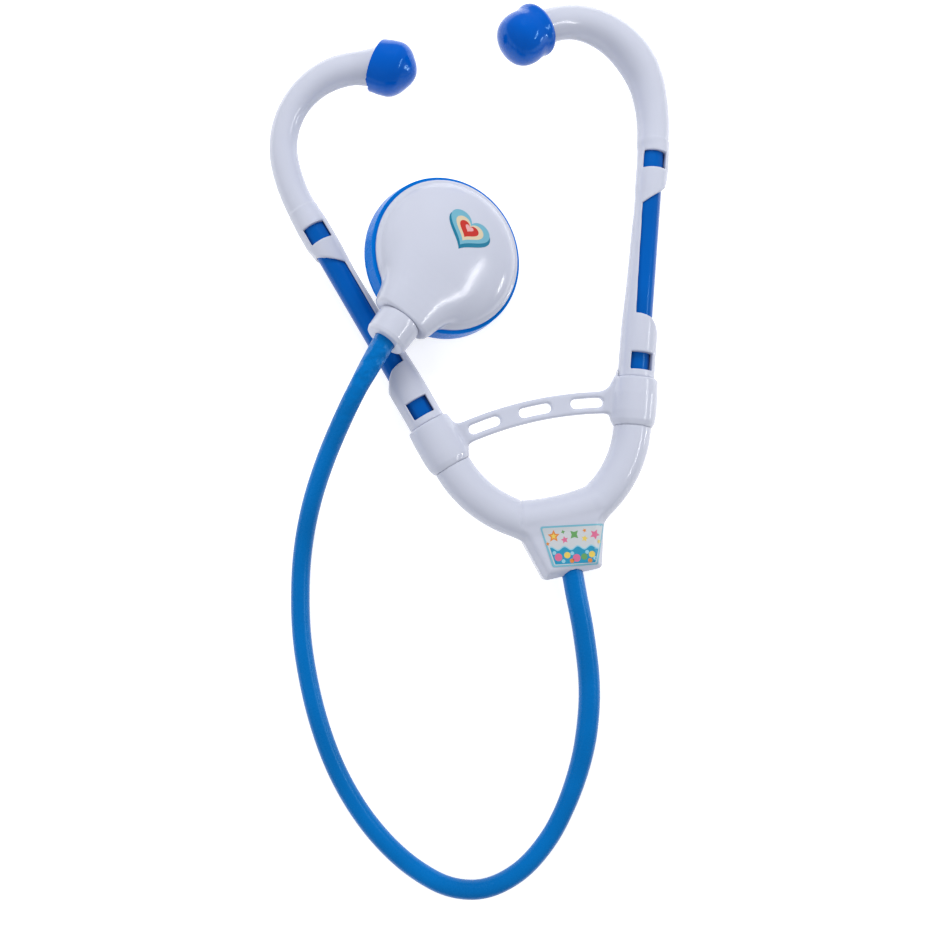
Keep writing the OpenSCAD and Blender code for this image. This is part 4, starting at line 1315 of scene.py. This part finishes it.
class STETHOSCOPE_OT_label(bpy.types.Operator):
    """Make the printed label on the block"""

    bl_idname = "stethoscope.label"
    bl_label = "Label"

    def execute(self, context):
        place = (Matrix.Translation((LABEL["x"] * MM, LABEL["y"] * MM, 0))
                 @ Matrix.Rotation(LABEL["turn"], 4, "Z"))
        inks = {name: print_ink("Label " + name, colour) for name, colour in LABEL_INKS.items()}
        names = list(inks)
        points, faces, slots = [], [], []

        def flat(outline, level, ink):
            base = len(points)
            points.extend((x, y, level) for x, y in outline)
            faces.append(tuple(range(base, base + len(outline))))
            slots.append(names.index(ink))

        def star(x, y, size, level, ink, arms, phase):
            ring = []
            for k in range(arms * 2):
                r = size if k % 2 == 0 else size * STAR_WAIST
                a = phase + math.pi * k / arms
                ring.append((x + r * math.cos(a), y + r * math.sin(a)))
            flat(ring, level, ink)

        outer = rounded_loop(label_outline(0), 0.7)
        n = len(outer)
        points.extend((x, y, z) for z in (0.0, CARD) for x, y in outer)
        faces += [*band(0, n, n), tuple(range(n, 2 * n))]
        slots += [0] * len(faces)
        flat(rounded_loop(label_outline(0.55), 0.5), GROUND, "ground")
        lower = label_outline(0.8)
        side = lower[1][0] + (lower[2][0] - lower[1][0]) * (SEA_LEVEL - lower[1][1]) / (
            lower[2][1] - lower[1][1])
        waves = [(x, SEA_LEVEL + WAVE_H * math.sin(x * WAVE_RATE))
                 for x in np.linspace(-side, side, 40)]
        sea = [lower[0], lower[1]] + [(x, y) for x, y in reversed(waves)]
        flat(sea, PRINT, "sea")
        crest = [(x, y + FOAM_W) for x, y in waves]
        flat(waves + list(reversed(crest)), CREST, "foam")
        for ink, x, y, size, arms, phase in STARS:
            star(x, y, size, TOP_PRINT if ink == "yellow" else PRINT, ink, arms, phase)
        obj = new_piece("printed_label", np.array(points) * MM, faces, list(inks.values()), 60)
        obj.data.polygons.foreach_set("material_index", slots)
        parts = [obj]
        for ink, radius, spots in BUBBLES:
            mesh = bpy.data.meshes.new("spots")
            mesh.from_pydata([(x * MM, y * MM, TOP_PRINT * MM) for x, y in spots], [], [])
            parts.append(from_tree(linked("spots", mesh), bubble_tree(),
                                   {"Radius": radius, "Finish": inks[ink]}))
        join(parts)
        bm = bmesh.new()
        bm.from_mesh(obj.data)
        for f in bm.faces:
            f.normal_update()
            if abs(f.normal.z) > 0.9 and f.normal.z < 0:
                f.normal_flip()
        for axis, step, count in (((0, 1, 0), 0.0005, 13), ((1, 0, 0), 0.0012, 8)):
            for k in range(-count, count + 1):
                cut_plane(bm, Vector(axis) * step * k, axis)
        bm.to_mesh(obj.data)
        bm.free()
        obj.data.transform(place)
        seat_label(obj.data)
        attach(obj, "headset")
        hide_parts("yoke_label")
        return {"FINISHED"}


def rounded_loop(points, radius):
    """A closed outline with rounded corners."""
    n = len(points)
    out = []
    for i in range(n):
        corner = [points[i - 1], points[i], points[(i + 1) % n]]
        out += rounded(corner, (0, radius, 0))[1:-1]
    return out


def join(parts):
    """Joins meshes into the first, keeping each one's materials."""
    target = parts[0]
    bm = bmesh.new()
    bm.from_mesh(target.data)
    for part in parts[1:]:
        first = len(bm.faces)
        bm.from_mesh(part.data)
        bm.faces.ensure_lookup_table()
        for f in bm.faces[first:]:
            mat = part.data.materials[f.material_index]
            f.material_index = target.data.materials.find(mat.name)
        bpy.data.objects.remove(part)
    bm.to_mesh(target.data)
    bm.free()


# Stage


CAMERA_SENSOR = 36
CAMERA_LENS = 38.38
CAMERA_RIGHT = (0.97374, -0.21908, 0.06187)
CAMERA_UP = (0.21281, 0.97252, 0.09440)
CAMERA_PLACE = (-0.05039, 0.00582, 0.32218)
FLOOR_GLOW = 0.64
# Point that the lamps face
LAMPS_AIM = (-0.02, 0.05, 0)
# Lamps: name, place, size, power and whether they show in glossy surfaces
LAMPS = [
    ("Key", (0.15, 0.62, 0.55), (0.6, 0.4), 3.7, False),
    ("Left fill", (-0.65, -0.1, 0.5), (0.6, 0.5), 2.0, False),
    ("Right strip", (0.53, -0.08, 0.39), (0.36, 0.02), 0.8, True),
    ("Low strip", (0.556, -0.07, 0.06), (0.12, 0.02), 0.25, True),
]


def add_light(name, place, size, power, glints):
    """An area lamp. Only lamps with glints show in glossy surfaces."""
    light = bpy.data.lights.new(name, "AREA")
    light.shape = "RECTANGLE"
    light.size, light.size_y = size
    light.energy = power
    obj = linked(name, light)
    obj.location = place
    aim = Vector(LAMPS_AIM) - Vector(place)
    obj.rotation_euler = aim.to_track_quat("-Z", "Y").to_euler()
    obj.visible_glossy = glints


def white_floor():
    """Pale floor that the camera and reflections see as white, with the object's shadow."""
    mat = bpy.data.materials.new("Pale floor")
    mat.use_nodes = True
    tree = mat.node_tree
    shader = tree.nodes["Principled BSDF"]
    shader.inputs["Base Color"].default_value = (0.85, 0.85, 0.86, 1)
    shader.inputs["Roughness"].default_value = 0.9
    shader.inputs["Specular IOR Level"].default_value = 0.1
    path = make_node(tree, "ShaderNodeLightPath").outputs
    seen = maths(tree, "MAXIMUM", path["Is Camera Ray"], path["Is Glossy Ray"])
    glow = make_node(tree, "ShaderNodeEmission", {
        "Color": (1, 1, 1, 1), "Strength": maths(tree, "MULTIPLY", seen, FLOOR_GLOW)})
    both = make_node(tree, "ShaderNodeAddShader", {0: shader.outputs[0], 1: glow.outputs[0]})
    tree.links.new(both.outputs[0], tree.nodes["Material Output"].inputs["Surface"])
    return mat


class STETHOSCOPE_OT_stage(bpy.types.Operator):
    """Make the camera, floor, lights and world"""

    bl_idname = "stethoscope.stage"
    bl_label = "Stage"

    def execute(self, context):
        scene = context.scene
        cam = bpy.data.cameras.new("Camera")
        cam.sensor_width, cam.lens = CAMERA_SENSOR, CAMERA_LENS
        cam.clip_start, cam.clip_end = 0.01, 20
        obj = linked("Camera", cam)
        right = Vector(CAMERA_RIGHT).normalized()
        up = Vector(CAMERA_UP)
        up = (up - right * up.dot(right)).normalized()
        back = right.cross(up)
        m = Matrix((right, up, back)).transposed().to_4x4()
        m.translation = CAMERA_PLACE
        obj.matrix_world = m
        scene.camera = obj

        bm = bmesh.new()
        bmesh.ops.create_grid(bm, x_segments=4, y_segments=4, size=3.0)
        mesh = bpy.data.meshes.new("Floor")
        bm.to_mesh(mesh)
        bm.free()
        mesh.materials.append(white_floor())
        floor = linked("Floor", mesh)
        for lamp in LAMPS:
            add_light(*lamp)
        world = bpy.data.worlds.new("World")
        scene.world = world
        world.use_nodes = True
        tree = world.node_tree
        ground = tree.nodes["Background"]
        ground.inputs["Color"].default_value = (0.93, 0.95, 1, 1)
        ground.inputs["Strength"].default_value = 0.4
        path = make_node(tree, "ShaderNodeLightPath")
        clear = make_node(tree, "ShaderNodeBackground", {"Color": (1, 1, 1, 1), "Strength": 1.0})
        mix = make_node(tree, "ShaderNodeMixShader", {
            0: path.outputs["Is Camera Ray"], 1: ground.outputs[0], 2: clear.outputs[0]})
        tree.links.new(mix.outputs[0], tree.nodes["World Output"].inputs["Surface"])
        scene.view_settings.view_transform = "Standard"
        return {"FINISHED"}


# Panel


class STETHOSCOPE_PT_panel(bpy.types.Panel):
    """Sizes, colours and building steps of the toy stethoscope"""

    bl_label = "Toy Stethoscope"
    bl_idname = "STETHOSCOPE_PT_panel"
    bl_space_type = "VIEW_3D"
    bl_region_type = "UI"
    bl_category = "Stethoscope"

    def draw(self, context):
        layout = self.layout
        for group in ("stethoscope_headset", "stethoscope_chest", "stethoscope_colours"):
            box = layout.box()
            values = getattr(context.scene, group)
            for name in values.__annotations__:
                box.prop(values, name)
        for step in STEPS:
            layout.operator("stethoscope." + step)


GROUPS = {
    "stethoscope_headset": HeadsetSizes,
    "stethoscope_chest": ChestSizes,
    "stethoscope_colours": StethoscopeColours,
}
STEPS = ("stage", "hose", "ear_tubes", "ear_tips", "yoke", "bridge", "chest_piece", "heart", "label")
CLASSES = (
    HeadsetSizes, ChestSizes, StethoscopeColours, STETHOSCOPE_OT_stage, STETHOSCOPE_OT_hose,
    STETHOSCOPE_OT_ear_tubes, STETHOSCOPE_OT_ear_tips, STETHOSCOPE_OT_yoke, STETHOSCOPE_OT_bridge,
    STETHOSCOPE_OT_chest_piece, STETHOSCOPE_OT_heart, STETHOSCOPE_OT_label, STETHOSCOPE_PT_panel)


def register():
    for cls in CLASSES:
        bpy.utils.register_class(cls)
    for name, group in GROUPS.items():
        setattr(bpy.types.Scene, name, bpy.props.PointerProperty(type=group))


def unregister():
    for name in GROUPS:
        delattr(bpy.types.Scene, name)
    for cls in reversed(CLASSES):
        bpy.utils.unregister_class(cls)


def main():
    register()
    for step in STEPS:
        getattr(bpy.ops.stethoscope, step)()


if __name__ == "__main__":
    main()
